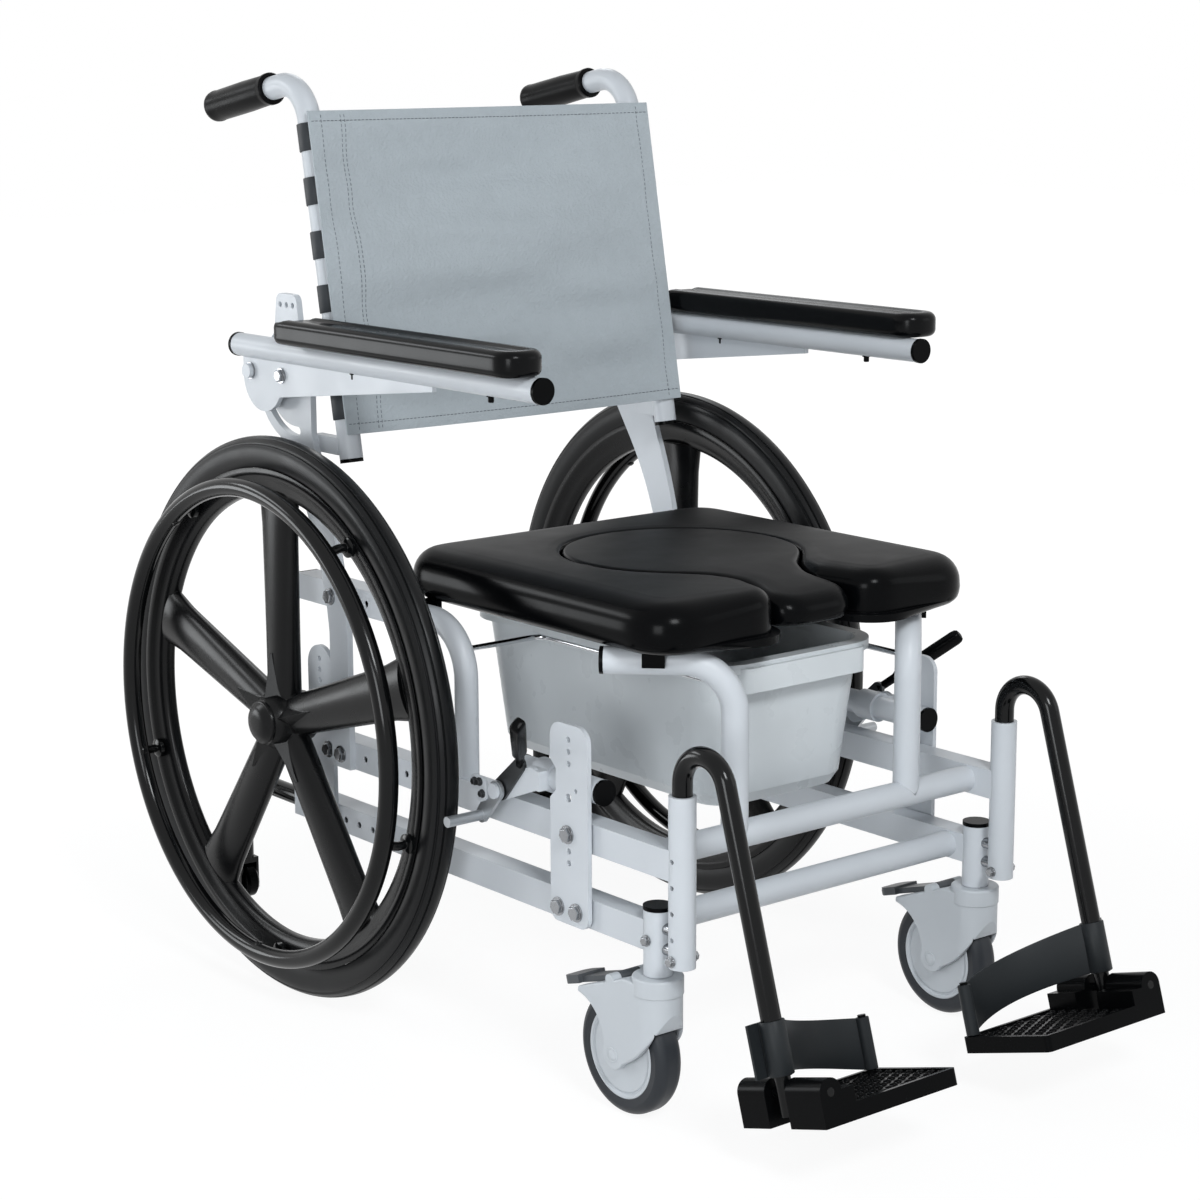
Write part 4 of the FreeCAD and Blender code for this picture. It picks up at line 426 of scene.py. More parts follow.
def drive_wheel(side, sign):
    low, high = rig.box(f"{side}_tyre")
    centre = (low + high) / 2
    radius = (high.z - low.z) / 2
    out = X * sign
    half = (high.x - low.x) / 2
    body = f"{side}_drive_wheel"
    inner = radius - TYRE_DEPTH

    tyre = Shape()
    crown = [(-half * 0.82, inner), (-half * 0.96, inner + 0.006), (-half, inner + 0.013)]
    groove_spots, groove_reach, groove_depth = (-0.62, -0.30, 0.30, 0.62), 0.035, 0.0016
    shoulder, crown_turn, steps = inner + 0.0165, math.radians(88), 40
    for k in range(steps + 1):
        u = -1 + 2 * k / steps
        angle = u * crown_turn
        groove = groove_depth if any(abs(u - spot) < groove_reach for spot in groove_spots) else 0
        crown.append(((half - groove) * math.sin(angle), shoulder + (radius - shoulder - groove) * math.cos(angle)))
    crown += [(half, inner + 0.013), (half * 0.96, inner + 0.006), (half * 0.82, inner)]
    tyre.lathe(centre, out, crown, 180, closed=True)
    tyre.make(f"{side}_tyre_tread", "tyre", body, replaces=[f"{side}_tyre"], angle=50)

    wheel = Shape()
    half_rim = [(RIM_HALF - 0.005, inner - 0.002), (RIM_HALF, inner), (RIM_HALF + 0.001, inner - 0.004),
                (RIM_HALF, inner - 0.009), (RIM_HALF - 0.003, inner - 0.012), (RIM_HALF - 0.004, inner - 0.02),
                (RIM_HALF - 0.007, inner - 0.028), (0.004, inner - 0.030)]
    wheel.lathe(centre, out, mirrored(half_rim) + half_rim[::-1], 180, closed=True)
    hub_low, hub_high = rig.box(f"{side}_wheel")
    hub_half = (hub_high.x - hub_low.x) / 2
    bore = 0.0065
    hub = [(-hub_half, bore), (-hub_half, 0.024), (-hub_half + 0.003, 0.027), (hub_half - 0.012, 0.031),
           (hub_half - 0.004, 0.027), (hub_half, 0.0245), (hub_half, bore)]
    wheel.lathe(centre, out, hub, 48, closed=True)
    first, last, stations = 0.014, inner - 0.0275, 14
    flare_from, flare = 0.85, 0.004
    round_spoke = [(math.cos(a), math.sin(a)) for a in (math.tau * j / 28 for j in range(28))]
    for index in range(SPOKES):
        up = Matrix.Rotation(sign * math.tau * index / SPOKES, 3, out) @ Z
        across = out.cross(up)
        rings = []
        for k in range(stations + 1):
            t = k / stations
            reach = first + (last - first) * t
            width = 0.0215 + 0.0085 * t + flare * max(0, t - flare_from) / (1 - flare_from)
            thick = 0.0165 - 0.004 * t
            rings.append([centre + up * reach + across * width * a + out * thick * b for a, b in round_spoke])
        wheel.rings(rings)
        # Fin from the face of the hub down onto the spoke
        base = [centre + up * 0.016 + across * s * 0.0165 + out * (hub_half - 0.016) for s in (-1, 1)]
        peak = centre + up * 0.018 + out * (hub_half - 0.0005)
        tip = centre + up * 0.074 + out * 0.0175
        tail = [centre + up * 0.073 + across * s * 0.0012 + out * 0.013 for s in (-1, 1)]
        wheel.add([*base, peak, *tail, tip], [(0, 2, 5, 3), (2, 1, 4, 5), (0, 1, 2), (3, 5, 4), (0, 3, 4, 1)])
    wheel.make(f"{side}_spoked_wheel", "wheel_black", body, replaces=[f"{side}_wheel"], slot="black_plastic",
               angle=38)

    rim_low, rim_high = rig.box(f"{side}_handrim")
    ring_radius = (rim_high.z - rim_low.z) / 2
    ring_line = ring_radius - HANDRIM_TUBE
    ring_x = abs(rim_low.x if sign < 0 else rim_high.x) - HANDRIM_TUBE
    ring_centre = Vector((sign * ring_x, centre.y, centre.z))
    push = Shape()
    push.lathe(ring_centre, out, arc((0, ring_line), HANDRIM_TUBE, 0, 345, 23), 160, closed=True)
    stay_radius, stay_rise = 0.0048, 0.003
    foot = [(0, 0.0105), (0.004, 0.0105), (0.006, 0.007), (0.006, 0.001)]
    screw = [(0, 0.0042), (0.0016, 0.0042), (0.0026, 0.0025), (0.0026, 0.0005)]
    for index in range(SPOKES):
        up = Matrix.Rotation(math.tau * (index + 0.5) / SPOKES, 3, X) @ Z
        start = centre + up * (inner - 0.012) + out * RIM_HALF
        end = ring_centre + up * ring_line
        mid = (start + end) / 2 + up * stay_rise
        push.tube([start, mid, end], stay_radius, 14)
        push.lathe(start, mid - start, foot, 20)
        push.lathe(end + up * (0.001 - HANDRIM_TUBE), -up, screw, 14)
    push.make(f"{side}_push_rim", "black_metal", body, replaces=[f"{side}_handrim"], angle=50)

    cap_low, cap_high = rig.box(f"{side}_hub_cap")
    height = cap_high.x - cap_low.x
    cap_base = Vector((sign * min(abs(cap_low.x), abs(cap_high.x)), centre.y, centre.z))
    cap = Shape()
    dome = [(0, 0.024), (0.002, 0.024), (0.004, 0.0228), (0.0045, 0.021), (height * 0.75, 0.018),
            (height * 0.93, 0.013), (height, 0.007), (height, 0.0003)]
    cap.lathe(cap_base, out, dome, 48)
    cap.make(f"{side}_hub_cover", "wheel_black", body, slot="black_plastic", replaces=[f"{side}_hub_cap"])


# Soft pieces: skinned foam over a plan outline, with each edge's own rounding
def eased(points, rounds, spacing=0.003):
    """Closed run of points of any dimension, evenly spaced in plan and smoothed."""
    points = [Vector(p) for p in points]
    even = []
    for here, there in zip(points, points[1:] + points[:1]):
        count = max(1, round((there.to_2d() - here.to_2d()).length / spacing))
        even += [here.lerp(there, k / count) for k in range(count)]
    for _ in range(rounds):
        even = [(even[i - 1] + 2 * here + even[(i + 1) % len(even)]) / 4 for i, here in enumerate(even)]
    return even


def inward(loop):
    """Plan normals of an anticlockwise run, towards its inside."""
    found = []
    for i in range(len(loop)):
        along = loop[(i + 1) % len(loop)].to_2d() - loop[i - 1].to_2d()
        found.append(Vector((-along.y, along.x)).normalized())
    return found


def moved(point, normal, inset, height):
    """Point of a plan run, set in along its normal and lifted to a height."""
    return Vector((*(point.to_2d() + normal * inset), height))


def quarter(steps):
    """What cosine and sine lack of 1 over a quarter turn."""
    turns = (math.radians(90 * k / steps) for k in range(steps + 1))
    return [(1 - math.cos(a), 1 - math.sin(a)) for a in turns]


EASE_ROUNDS = 20
EDGE_STEPS = 9
OPENING_Y = -0.0815
OPENING_RADIUS = 0.125
NECK_WAIST = 0.045
NECK_LENGTH = 0.15
NECK_FLARE = 0.01 / 0.07


def neck_side(front, gap, edge_round, disc_round, mouth):
    """Half of the keyhole, from the front to the top of its circle, on the +X side.

    Each point is x, y, the rounding of the edge there, and 1 as a mark of the opening. A mouth radius above 0
    flares the front corner away from the middle, one below 0 turns it inwards."""
    radius = OPENING_RADIUS - gap
    waist = NECK_WAIST - gap
    waist_y = OPENING_Y - NECK_LENGTH
    root = OPENING_RADIUS * math.sqrt(0.5)
    bend = ((NECK_WAIST + root) / 2 - 0.007 - gap, OPENING_Y - (NECK_LENGTH + root) / 2 + 0.004)
    side = waist + NECK_FLARE * (waist_y - front)
    turn = (270, 180) if mouth > 0 else (-90, 0)
    corner = arc((side + mouth, front + abs(mouth)), abs(mouth), *turn, 10)
    points = [(x, y, edge_round, 1) for x, y in corner]
    points.append((waist, waist_y, edge_round, 1))
    points.append((*bend, (edge_round + disc_round) / 2, 1))
    points += [(x, y, disc_round, 1) for x, y in arc((0, OPENING_Y), radius, -45, 90, 30)]
    return points


def seat():
    thick, edge, crown = 0.052, 0.028, 0.001
    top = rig.box("seat_pad")[1].z
    base = top - thick
    half, front, rear, corner = 0.215, -0.3015, 0.1285, 0.048
    right = [(x, y, edge, 0) for x, y in arc((half - corner, front + corner), corner, -90, 0, 12)]
    right += [(x, y, edge, 0) for x, y in arc((half - corner, rear - corner), corner, 0, 90, 12)]
    neck = neck_side(front, gap=0, edge_round=0.019, disc_round=0.006, mouth=0.034)
    loop = eased(right + mirrored(right[::-1]) + mirrored(neck) + neck[-2::-1], EASE_ROUNDS)
    run = list(zip(loop, inward(loop)))
    # Each point carries its rounding as z, and as w its share in the opening; a foot ring has the inset of the
    # outer edge, that of the opening, and its rise
    foot = ((0.013, -0.009, 0), (0.0075, -0.009, 0.0022), (0.004, -0.009, 0.005), (0.0018, -0.009, 0.0078),
            (0.0017, 0, 0.008), (0.0004, 0, 0.012), (-0.0004, 0, 0.018))
    rings = [[moved(p, n, outer + (inner - outer) * p.w, base + rise) for p, n in run]
             for outer, inner, rise in foot]
    rings += [[moved(p, n, p.z * a, top - crown - p.z * b) for p, n in run] for a, b in quarter(EDGE_STEPS)]
    rings += [[moved(p, n, p.z + inset, top - fall) for p, n in run]
              for inset, fall in ((0.005, 0.0003), (0.009, 0))]
    shape = Shape()
    shape.rings(rings)
    cushion = shape.make("seat_cushion", "black_cushion", "seat", replaces=["seat_pad"], angle=60)
    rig.padded(cushion, fill=0.9)

    # The clips are the faces of the solid that hang below the pad
    clips = Shape()
    mesh = nodes["seat_pad"].data
    slack = 0.0001
    for polygon in mesh.polygons:
        corners = [mesh.vertices[i].co.copy() for i in polygon.vertices]
        heights = [corner.z for corner in corners]
        hangs = min(heights) < base - 10 * slack and max(heights) < base + slack
        if hangs or max(heights) < base - slack:
            clips.add(corners, [tuple(range(len(corners)))])
    item = clips.make("seat_clips", "black_plastic", "seat", slot="black_cushion", smooth=False)
    weld(item.data)


def insert():
    proud, fall_y, fall = 0.0012, -0.172, 0.017
    low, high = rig.box("seat_insert")
    front, top = low.y, high.z + proud

    def top_at(y):
        """Height of the top, which falls away towards the front."""
        return top - fall * max(0.0, (fall_y - y) / (fall_y - front)) ** 1.5

    neck = neck_side(front, gap=0.0018, edge_round=0.016, disc_round=0.0045, mouth=-0.026)
    loop = eased(neck + mirrored(neck[-2::-1]), EASE_ROUNDS)
    run = list(zip(loop, inward(loop)))
    rings = [[moved(p, n, inset, low.z + rise) for p, n in run]
             for inset, rise in ((0.004, 0), (0.001, 0.003), (0, 0.008))]
    for a, b in quarter(EDGE_STEPS):
        spots = [(p.to_2d() + n * p.z * a, p.z * b) for p, n in run]
        rings.append([Vector((*spot, top_at(spot.y) - drop)) for spot, drop in spots])
    # From the edge the rings close up to a spine in the middle
    edge = rings[-1]
    crown, spine_front = 0.0008, front + 0.045
    for share in (0.12, 0.3, 0.5, 0.7, 0.87, 1.0):
        spots = [p.to_2d().lerp(Vector((0, min(max(p.y, spine_front), OPENING_Y))), share) for p in edge]
        rings.append([Vector((*spot, top_at(spot.y) + crown * min(1, share * 3))) for spot in spots])
    shape = Shape()
    shape.rings(rings, caps=False)
    shape.faces.append(tuple(range(len(loop))))
    item = shape.make("insert_cushion", "black_cushion", "insert", replaces=["seat_insert"], angle=60)
    weld(item.data)
    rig.padded(item, fill=0.9)


# Armrest pads: upright sides, a raised rim and a shallow dish that opens to the rear
def arm_pad(side):
    low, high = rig.box(f"{side}_armrest_pad")
    half = (high.x - low.x) / 2
    middle = (high.x + low.x) / 2
    nose, heel = half * 0.82, half * 0.35
    outline = arc((middle + half - nose, low.y + nose), nose, -90, 0, 10)
    outline += arc((middle + half - heel, high.y - heel), heel, 0, 90, 8)
    outline += arc((middle - half + heel, high.y - heel), heel, 90, 180, 8)
    outline += arc((middle - half + nose, low.y + nose), nose, 180, 270, 10)
    loop = eased(outline, 4)
    tall = high.z - low.z
    round_over, round_under, dish = 0.0085, 0.0075, 0.0034
    open_from, open_over = high.y - 0.020, 0.008
    levels = [(round_under * b, round_under * a) for a, b in quarter(6)]
    levels += [(round_over * a, tall - round_over * b) for a, b in quarter(7)]
    levels += [(0.0098, tall), (0.0112, tall - 0.0006), (0.0136, tall - 0.0026), (0.0160, tall - 0.0032)]

    def height(y, rise):
        """Drops the rim at the rear end to the level of the dish."""
        step = min(1.0, max(0.0, (y - open_from) / open_over))
        return low.z + min(rise, tall - dish * step)

    run = list(zip(loop, inward(loop)))
    shape = Shape()
    shape.rings([[moved(p, n, inset, height(p.y, rise)) for p, n in run] for inset, rise in levels])
    item = shape.make(f"{side}_arm_cushion", "arm_skin", f"{side}_armrest", slot="black_cushion",
                      replaces=[f"{side}_armrest_pad"], angle=50)
    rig.padded(item, fill=0.9)


# Canvas back with hems and stitching, and the loops that hold it
CANE_LEAN = math.radians(10.4)
CANE_UP = Vector((0, math.sin(CANE_LEAN), math.cos(CANE_LEAN)))
CANE_BACK = Vector((0, math.cos(CANE_LEAN), -math.sin(CANE_LEAN)))
CANE_FOOT = Vector((0, 0.1985, 0.586))
CANE_X = 0.218
CANE_LENGTH = 0.401
HANDLE_LENGTH = 0.177
CANVAS_FOOT = 0.025
CANVAS_HEIGHT = 0.339
CANVAS_HALF = 0.2305
CANVAS_FRONT = 0.0156
CANVAS_SAG = 0.012
CANVAS_BOW = 0.0015
CANVAS_THICK = 0.0022
# Depth of each ripple, its pace across and up, and its place in the noise across and deep
RIPPLES = ((0.0240, 0.8, 5.6, 3, 0.4), (0.0110, 1.3, 10.5, 0, 2.4))


def canvas_point(u, v, out=0.0):
    """Point of the canvas: u from -1 to 1 across, v from 0 to 1 up, out towards the user."""
    sag = CANVAS_SAG * (1 - u * u)
    loose = (1 - u * u) * (1 - (2 * v - 1) ** 8)
    ripple = sum(depth * noise.noise(Vector((u * across + start, v * up, layer))) * loose
                 for depth, across, up, start, layer in RIPPLES)
    front = CANVAS_FRONT - sag + ripple + out
    height = CANVAS_FOOT + CANVAS_HEIGHT * v + CANVAS_BOW * (1 - u * u) * (2 * v - 1)
    return CANE_FOOT + X * (u * CANVAS_HALF) + CANE_UP * height - CANE_BACK * front


def canvas():
    across, up = 96, 72
    verts = [canvas_point(-1 + 2 * i / across, j / up, layer)
             for layer in (0, CANVAS_THICK) for j in range(up + 1) for i in range(across + 1)]
    row = across + 1
    count = row * (up + 1)
    faces = []
    for j in range(up):
        for i in range(across):
            a = j * row + i
            faces.append((a, a + 1, a + row + 1, a + row))
            faces.append((count + a, count + a + row, count + a + row + 1, count + a + 1))
    ring = list(range(row)) + [j * row + across for j in range(1, up + 1)]
    ring += [up * row + i for i in range(across - 1, -1, -1)] + [j * row for j in range(up - 1, 0, -1)]
    for k, a in enumerate(ring):
        b = ring[(k + 1) % len(ring)]
        faces.append((a, b, count + b, count + a))
    sheet = piece("canvas_sheet", verts, faces, "grey_canvas", "frame", replaces=["back_canvas"], angle=60)
    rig.sheet(sheet, flat=(2 * CANVAS_HALF, CANVAS_HEIGHT), held="stretched", rests_on=["back_canes"])

    stitches = Shape()
    lift, thread_half, pitch = CANVAS_THICK + 0.0003, 0.0004, 0.0052

    def stitch(start, end):
        along = (end - start).normalized()
        wide = along.cross(CANE_BACK).normalized() * thread_half
        thick = CANE_BACK * thread_half
        stitches.rings([[p + wide, p - thick, p - wide, p + thick] for p in (start, end)])

    def seam(start, end, length):
        count = round(length / pitch)
        for k in range(count):
            a, b = (k + 0.2) / count, (k + 0.8) / count
            first = [s + (e - s) * a for s, e in zip(start, end)]
            last = [s + (e - s) * b for s, e in zip(start, end)]
            stitch(canvas_point(*first, lift), canvas_point(*last, lift))

    seam_insets = {"left": (0.016,), "right": (0.016, 0.042, 0.047)}
    hem, ends = 0.032, 0.01
    for side, insets in seam_insets.items():
        for inset in insets:
            u = SIDES[side] * (1 - inset / CANVAS_HALF)
            seam((u, ends), (u, 1 - ends), CANVAS_HEIGHT)
    for v in (hem, 1 - hem):
        seam((ends - 1, v), (1 - ends, v), 2 * CANVAS_HALF)
    stitches.make("canvas_stitches", "thread", "frame", slot="grey_canvas", smooth=False)


def loops():
    straps = Shape()
    lowest, pitch, count = 0.042, 0.0565, 6
    profile = sleeve(0.0126, 0.0142, tall=0.029, drop=0.0004, run=0.0006)
    for sign in SIDES.values():
        for index in range(count):
            centre = CANE_FOOT + X * (sign * CANE_X) + CANE_UP * (lowest + index * pitch)
            straps.lathe(centre, CANE_UP, profile, 36, closed=True)
    straps.make("canvas_loops", "dark_web", "frame", replaces=["canvas_straps"], slot="grey_canvas")


# Hand grips
def grips():
    shape = Shape()
    length, end_wall = 0.118, 0.004
    profile = [(0, 0.0127), (0, 0.0158), (0.0015, 0.0172), (0.006, 0.0172), (0.008, 0.0160), (0.011, 0.0162),
               (0.05, 0.0170), (0.095, 0.0168), (0.108, 0.0166), (0.112, 0.0172), (0.1155, 0.0168),
               (length, 0.0148), (length, 0.0004)]
    tip = CANE_FOOT + CANE_UP * CANE_LENGTH + CANE_BACK * (HANDLE_LENGTH + end_wall)
    for sign in SIDES.values():
        shape.lathe(tip + X * (sign * CANE_X) - CANE_BACK * length, CANE_BACK, profile, 48)
    shape.make("rubber_grips", "black_rubber", "frame", replaces=["hand_grips"])


# Heel straps, bent between hanger and footplate, and the footplates' knobs
def footplate_axes(side, sign):
    """Function that places a point outward, back and up from a footplate's hinge, and the upward direction."""
    hinge = joints[f"{side}_footplate_flip"]
    origin = Vector(hinge["pos_m"])
    back = Vector(hinge["axis"]) * sign
    up = X.cross(back)
    out = X * sign

    def local(a, b, c):
        return origin + out * a + back * b + up * c

    return local, up


def heel_strap(side, sign):
    local, up = footplate_axes(side, sign)
    shape = Shape()
    sleeve_low, tall = 0.0156, 0.050
    lap_half, web_half, waist = 0.0014, 0.0013, 0.002
    shape.lathe(local(0, 0, sleeve_low), up, sleeve(0.0100, 0.0123, tall, drop=0.0005, run=0.0008), 40, closed=True)
    lap = []
    for a, b in ((0.007, 0.0088), (0.014, 0.0095), (0.021, 0.0090), (0.0235, 0.0085)):
        lap.append([local(a, b + thick, sleeve_low + rise) for thick, rise in
                    ((-lap_half, 0), (lap_half, 0), (lap_half, tall), (-lap_half, tall))])
    shape.rings(lap)
    start = Vector((-0.0108, 0.004, sleeve_low + tall / 2))
    end = Vector((-0.1438, 0.0465, 0.0105))
    section = ((0.55, -1), (1, -0.92), (1, 0.92), (0.55, 1), (-0.55, 1), (-1, 0.92), (-1, -0.92), (-0.55, -1))
    bow, steps = 0.026, 28
    rings = []
    for k in range(steps + 1):
        t = k / steps
        p = start.lerp(end, t)
        p.y += bow * 4 * t * (1 - t)
        slope = (end - start) + Vector((0, bow * 4 * (1 - 2 * t), 0))
        normal = Vector((slope.y, -slope.x, 0)).normalized() * web_half
        half = tall / 2 - waist * math.sin(math.pi * t)
        rings.append([local(p.x + normal.x * w, p.y + normal.y * w, p.z + half * h) for w, h in section])
    shape.rings(rings)
    shape.lathe(local(-0.148, 0.044, -0.0145), up, sleeve(0.0041, 0.0066, tall, drop=0.0006, run=0.0006), 32,
                closed=True)
    item = shape.make(f"{side}_heel_web", "heel_web", None, slot="grey_canvas")
    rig.replaces(item, f"{side}_heel_strap")
    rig.blend(item, f"{side}_footrest", f"{side}_foot_plate", start=local(-0.016, 0, 0.03),
             end=local(-0.136, 0.04, 0.01))


def footplate_knobs(side, sign):
    local, up = footplate_axes(side, sign)
    knobs = Shape()
    rows, row_pitch, first_row = 7, 0.0142, -0.052
    columns, column_pitch, first_column = 10, 0.0122, -0.146
    plate_top = -0.0176
    profile = [(0, 0.0040), (0.0012, 0.0038), (0.0019, 0.0030), (0.0022, 0.0020), (0.0018, 0.0014), (0.0018, 0.0001)]
    for i in range(columns):
        for j in range(rows):
            a = first_column + column_pitch * i
            b = first_row + row_pitch * j + (row_pitch / 2 if i % 2 else 0)
            under_strap = b > 0.042 and a < -0.135
            if not under_strap:
                knobs.lathe(local(a, b, plate_top), up, profile, 14)
    knobs.make(f"{side}_footplate_knobs", "black_plastic", f"{side}_foot_plate")


# Hexagon bolt heads over the plain ones, and the smaller screws; heads are given as across and height
LARGE_HEAD = (0.0132, 0.0058)
PIVOT_HEAD = (0.0118, 0.0055)
SMALL_HEAD = (0.0080, 0.005)
TINY_HEAD = (0.0062, 0.0042)


def bolt_heads():
    heads = Shape()
    spots = [(0.2385, -0.1905, 0.266), (0.2385, -0.2035, 0.190), (0.2385, -0.1755, 0.190), (0.2355, 0.229, 0.266),
             (0.2355, 0.258, 0.190), (0.2375, 0.2025, 0.266), (0.2375, 0.2165, 0.437)]
    pivot = (0.274, 0.670)
    for sign in SIDES.values():
        out = X * sign
        for x, y, z in spots:
            heads.hex_head(Vector((sign * x, y, z)), out, *LARGE_HEAD)
        heads.hex_head(Vector((sign * 0.2548, *pivot)), out, *PIVOT_HEAD)
        heads.lathe(Vector((sign * 0.2376, *pivot)), out, [(0, 0.007), (0.0114, 0.007)], 28)
        heads.hex_head(Vector((sign * 0.2322, -0.3015, 0.186)), out, *SMALL_HEAD)
        heads.hex_head(Vector((sign * 0.2314, -0.3365, 0.174)), out, *SMALL_HEAD)
        heads.hex_head(Vector((sign * 0.2046, -0.3365, 0.174)), -out, *SMALL_HEAD)
    heads.make("bolt_heads", "steel", "frame", replaces=["frame_bolts"], angle=25)
    screw = [(-0.002, 0.0045), (0.001, 0.0045), (0.001, 0.003), (0.006, 0.003), (0.0066, 0.0022), (0.0066, 0.0002)]
    for side, sign in SIDES.items():
        stop = Shape()
        stop.hex_head(Vector((sign * 0.2545, 0.335, 0.670)), X * sign, *LARGE_HEAD)
        stop.make(f"{side}_stop_bolt", "steel", f"{side}_armrest", slot="steel", angle=25)
        screws = Shape()
        for y in (0.140, -0.094):
            screws.lathe(Vector((sign * 0.252, y, 0.6845)), -Z, screw, 20)
        screws.make(f"{side}_pad_screws", "black_plastic", f"{side}_armrest", slot="black_plastic")


# Casters: grooved disc in the tyre, and caps on the axle ends
def caster(side):
    low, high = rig.box(f"{side}_caster_wheel")
    centre = (low + high) / 2
    disc = [(0.0158, 0.0052), (0.0158, 0.0105), (0.0150, 0.012), (0.0128, 0.0132), (0.0126, 0.0392),
            (0.0116, 0.0400), (0.0114, 0.0410), (0.0134, 0.0420), (0.0142, 0.0430), (0.0142, 0.0452),
            (0.0136, 0.0459)]
    wheel = Shape()
    wheel.lathe(centre, X, mirrored(disc) + disc[::-1], 96, closed=True)
    wheel.make(f"{side}_caster_disc", "grey_plastic", f"{side}_caster_roller",
               replaces=[f"{side}_caster_wheel"], angle=30)
    caps = Shape()
    fork_half = 0.0236
    cap = [(0, 0.0078), (0.0009, 0.0078), (0.0013, 0.0072), (0.0013, 0.0062), (0.0008, 0.0058), (0.0014, 0.0050),
           (0.0018, 0.0002)]
    for way in (-1, 1):
        caps.lathe(centre + X * (way * fork_half), X * way, cap, 32)
    caps.make(f"{side}_axle_caps", "grey_plastic", f"{side}_caster_swivel")


# Wheel locks: a steel arm with a flat moulded handle, and the ear of the bar with its bolts
def lock_lever(side, sign):
    hinge = Vector(joints[f"{side}_lock_lever_turn"]["pos_m"])
    hinge.x = 0
    low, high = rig.box(f"{side}_brake_lever")
    inner = min(abs(low.x), abs(high.x))
    thick = 0.004
    knee = Vector((0, hinge.y - 0.032, hinge.z + 0.032))
    run = (knee - hinge).normalized()
    cross = X.cross(run)
    plate = []
    for centre, radius, turn in ((hinge, 0.011, 90), (knee, 0.0075, -90)):
        plate += [centre + run * a + cross * b for a, b in arc((0, 0), radius, turn, turn + 180, 12)]
    arm = Shape()
    arm.rings([[p + X * sign * (inner + t) for p in plate] for t in (0, thick)])
    arm.make(f"{side}_lever_arm", "dark_steel", f"{side}_lock_lever", slot="black_metal", angle=30)

    start = Vector((sign * (inner + thick / 2), knee.y, knee.z))
    reach = Vector((sign * 0.055, -0.068, 0.064))
    along = reach.normalized()
    wide = along.cross(Y).normalized()
    deep = along.cross(wide)

    def squared(value):
        """Turns the cosine or sine of a circle into that of a rounded square."""
        return math.copysign(abs(value) ** 0.5, value)

    turns = [math.tau * k / 24 for k in range(24)]
    section = [(squared(math.cos(a)), squared(math.sin(a))) for a in turns]
    stations = ((0, 0.0040, 0.0034), (0.20, 0.0042, 0.0036), (0.25, 0.0062, 0.0050), (0.29, 0.0070, 0.0056),
                (0.7, 0.0076, 0.0060), (0.93, 0.0076, 0.0060), (0.97, 0.0070, 0.0055), (0.993, 0.0052, 0.0042),
                (1.0, 0.0026, 0.0020))
    handle = Shape()
    handle.rings([[start + reach * t + wide * w * a + deep * d * b for a, b in section] for t, w, d in stations])
    handle.make(f"{side}_lever_handle", "black_plastic", f"{side}_lock_lever",
                replaces=[f"{side}_brake_lever"], slot="black_metal", angle=35)

    ear = Shape()
    outline = [(-0.0835, 0.300), (-0.078, 0.3035), (-0.0725, 0.301), (-0.0675, 0.3045), (-0.060, 0.303),
               (-0.0565, 0.2965), (-0.0600, 0.290), (-0.0655, 0.2865), (-0.0665, 0.280), (-0.073, 0.2765),
               (-0.080, 0.2785), (-0.0845, 0.284)]
    spots = [Vector((0, y, z)) for y, z in outline]
    for _ in range(2):
        spots = [here.lerp(spots[j % len(spots)], 0.25) for i, here in enumerate(spots) for j in (i - 1, i + 1)]
    ear_in, ear_out = 0.2538, 0.2564
    ear.rings([[p + X * (sign * x) for p in spots] for x in (ear_in, ear_out)])
    ear.make(f"{side}_lock_ear", "white_frame", f"{side}_lock_bar", slot="white_frame", angle=30)
    bolts = Shape()
    for y, z in ((-0.0655, 0.2965), (-0.0775, 0.2860), (-0.0735, 0.2975)):
        bolts.hex_head(Vector((sign * ear_out, y, z)), X * sign, *TINY_HEAD)
    bolts.make(f"{side}_lock_bolts", "dark_steel", f"{side}_lock_bar", slot="steel", angle=25)


# The pieces in order
for side, sign in SIDES.items():
    drive_wheel(side, sign)
seat()
insert()
for side in SIDES:
    arm_pad(side)
canvas()
loops()
grips()
for side, sign in SIDES.items():
    heel_strap(side, sign)
for side, sign in SIDES.items():
    footplate_knobs(side, sign)
bolt_heads()
for side in SIDES:
    caster(side)
for side, sign in SIDES.items():
    lock_lever(side, sign)


# Camera at the photograph's viewing angle
def camera():
    eye = Vector((-1.8137, -2.1804, 1.0246))
    yaw, pitch, roll = (math.radians(a) for a in (39.097, 11.732, -0.258))
    forward = Vector((math.sin(yaw) * math.cos(pitch), math.cos(yaw) * math.cos(pitch), -math.sin(pitch)))
    right = Vector((math.cos(yaw), -math.sin(yaw), 0))
    up = right.cross(forward)
    across = right * math.cos(roll) + up * math.sin(roll)
    above = up * math.cos(roll) - right * math.sin(roll)
    data = bpy.data.cameras.new("camera")
    data.sensor_width = 36
    data.lens = 81.83
    data.clip_end = 50
    item = bpy.data.objects.new("camera", data)
    item.matrix_world = Matrix((
        (across.x, above.x, -forward.x, eye.x),
        (across.y, above.y, -forward.y, eye.y),
        (across.z, above.z, -forward.z, eye.z),
        (0, 0, 0, 1)))
    bpy.context.scene.collection.objects.link(item)
    bpy.context.scene.camera = item


# Studio: world and floor are white to the camera and in reflections, and give an even light otherwise
AMBIENT = 0.22
LAMP_COLOUR = (0.95, 0.98, 1)
FLOOR_SIZE = 12
FLOOR_GLOW = 1.06


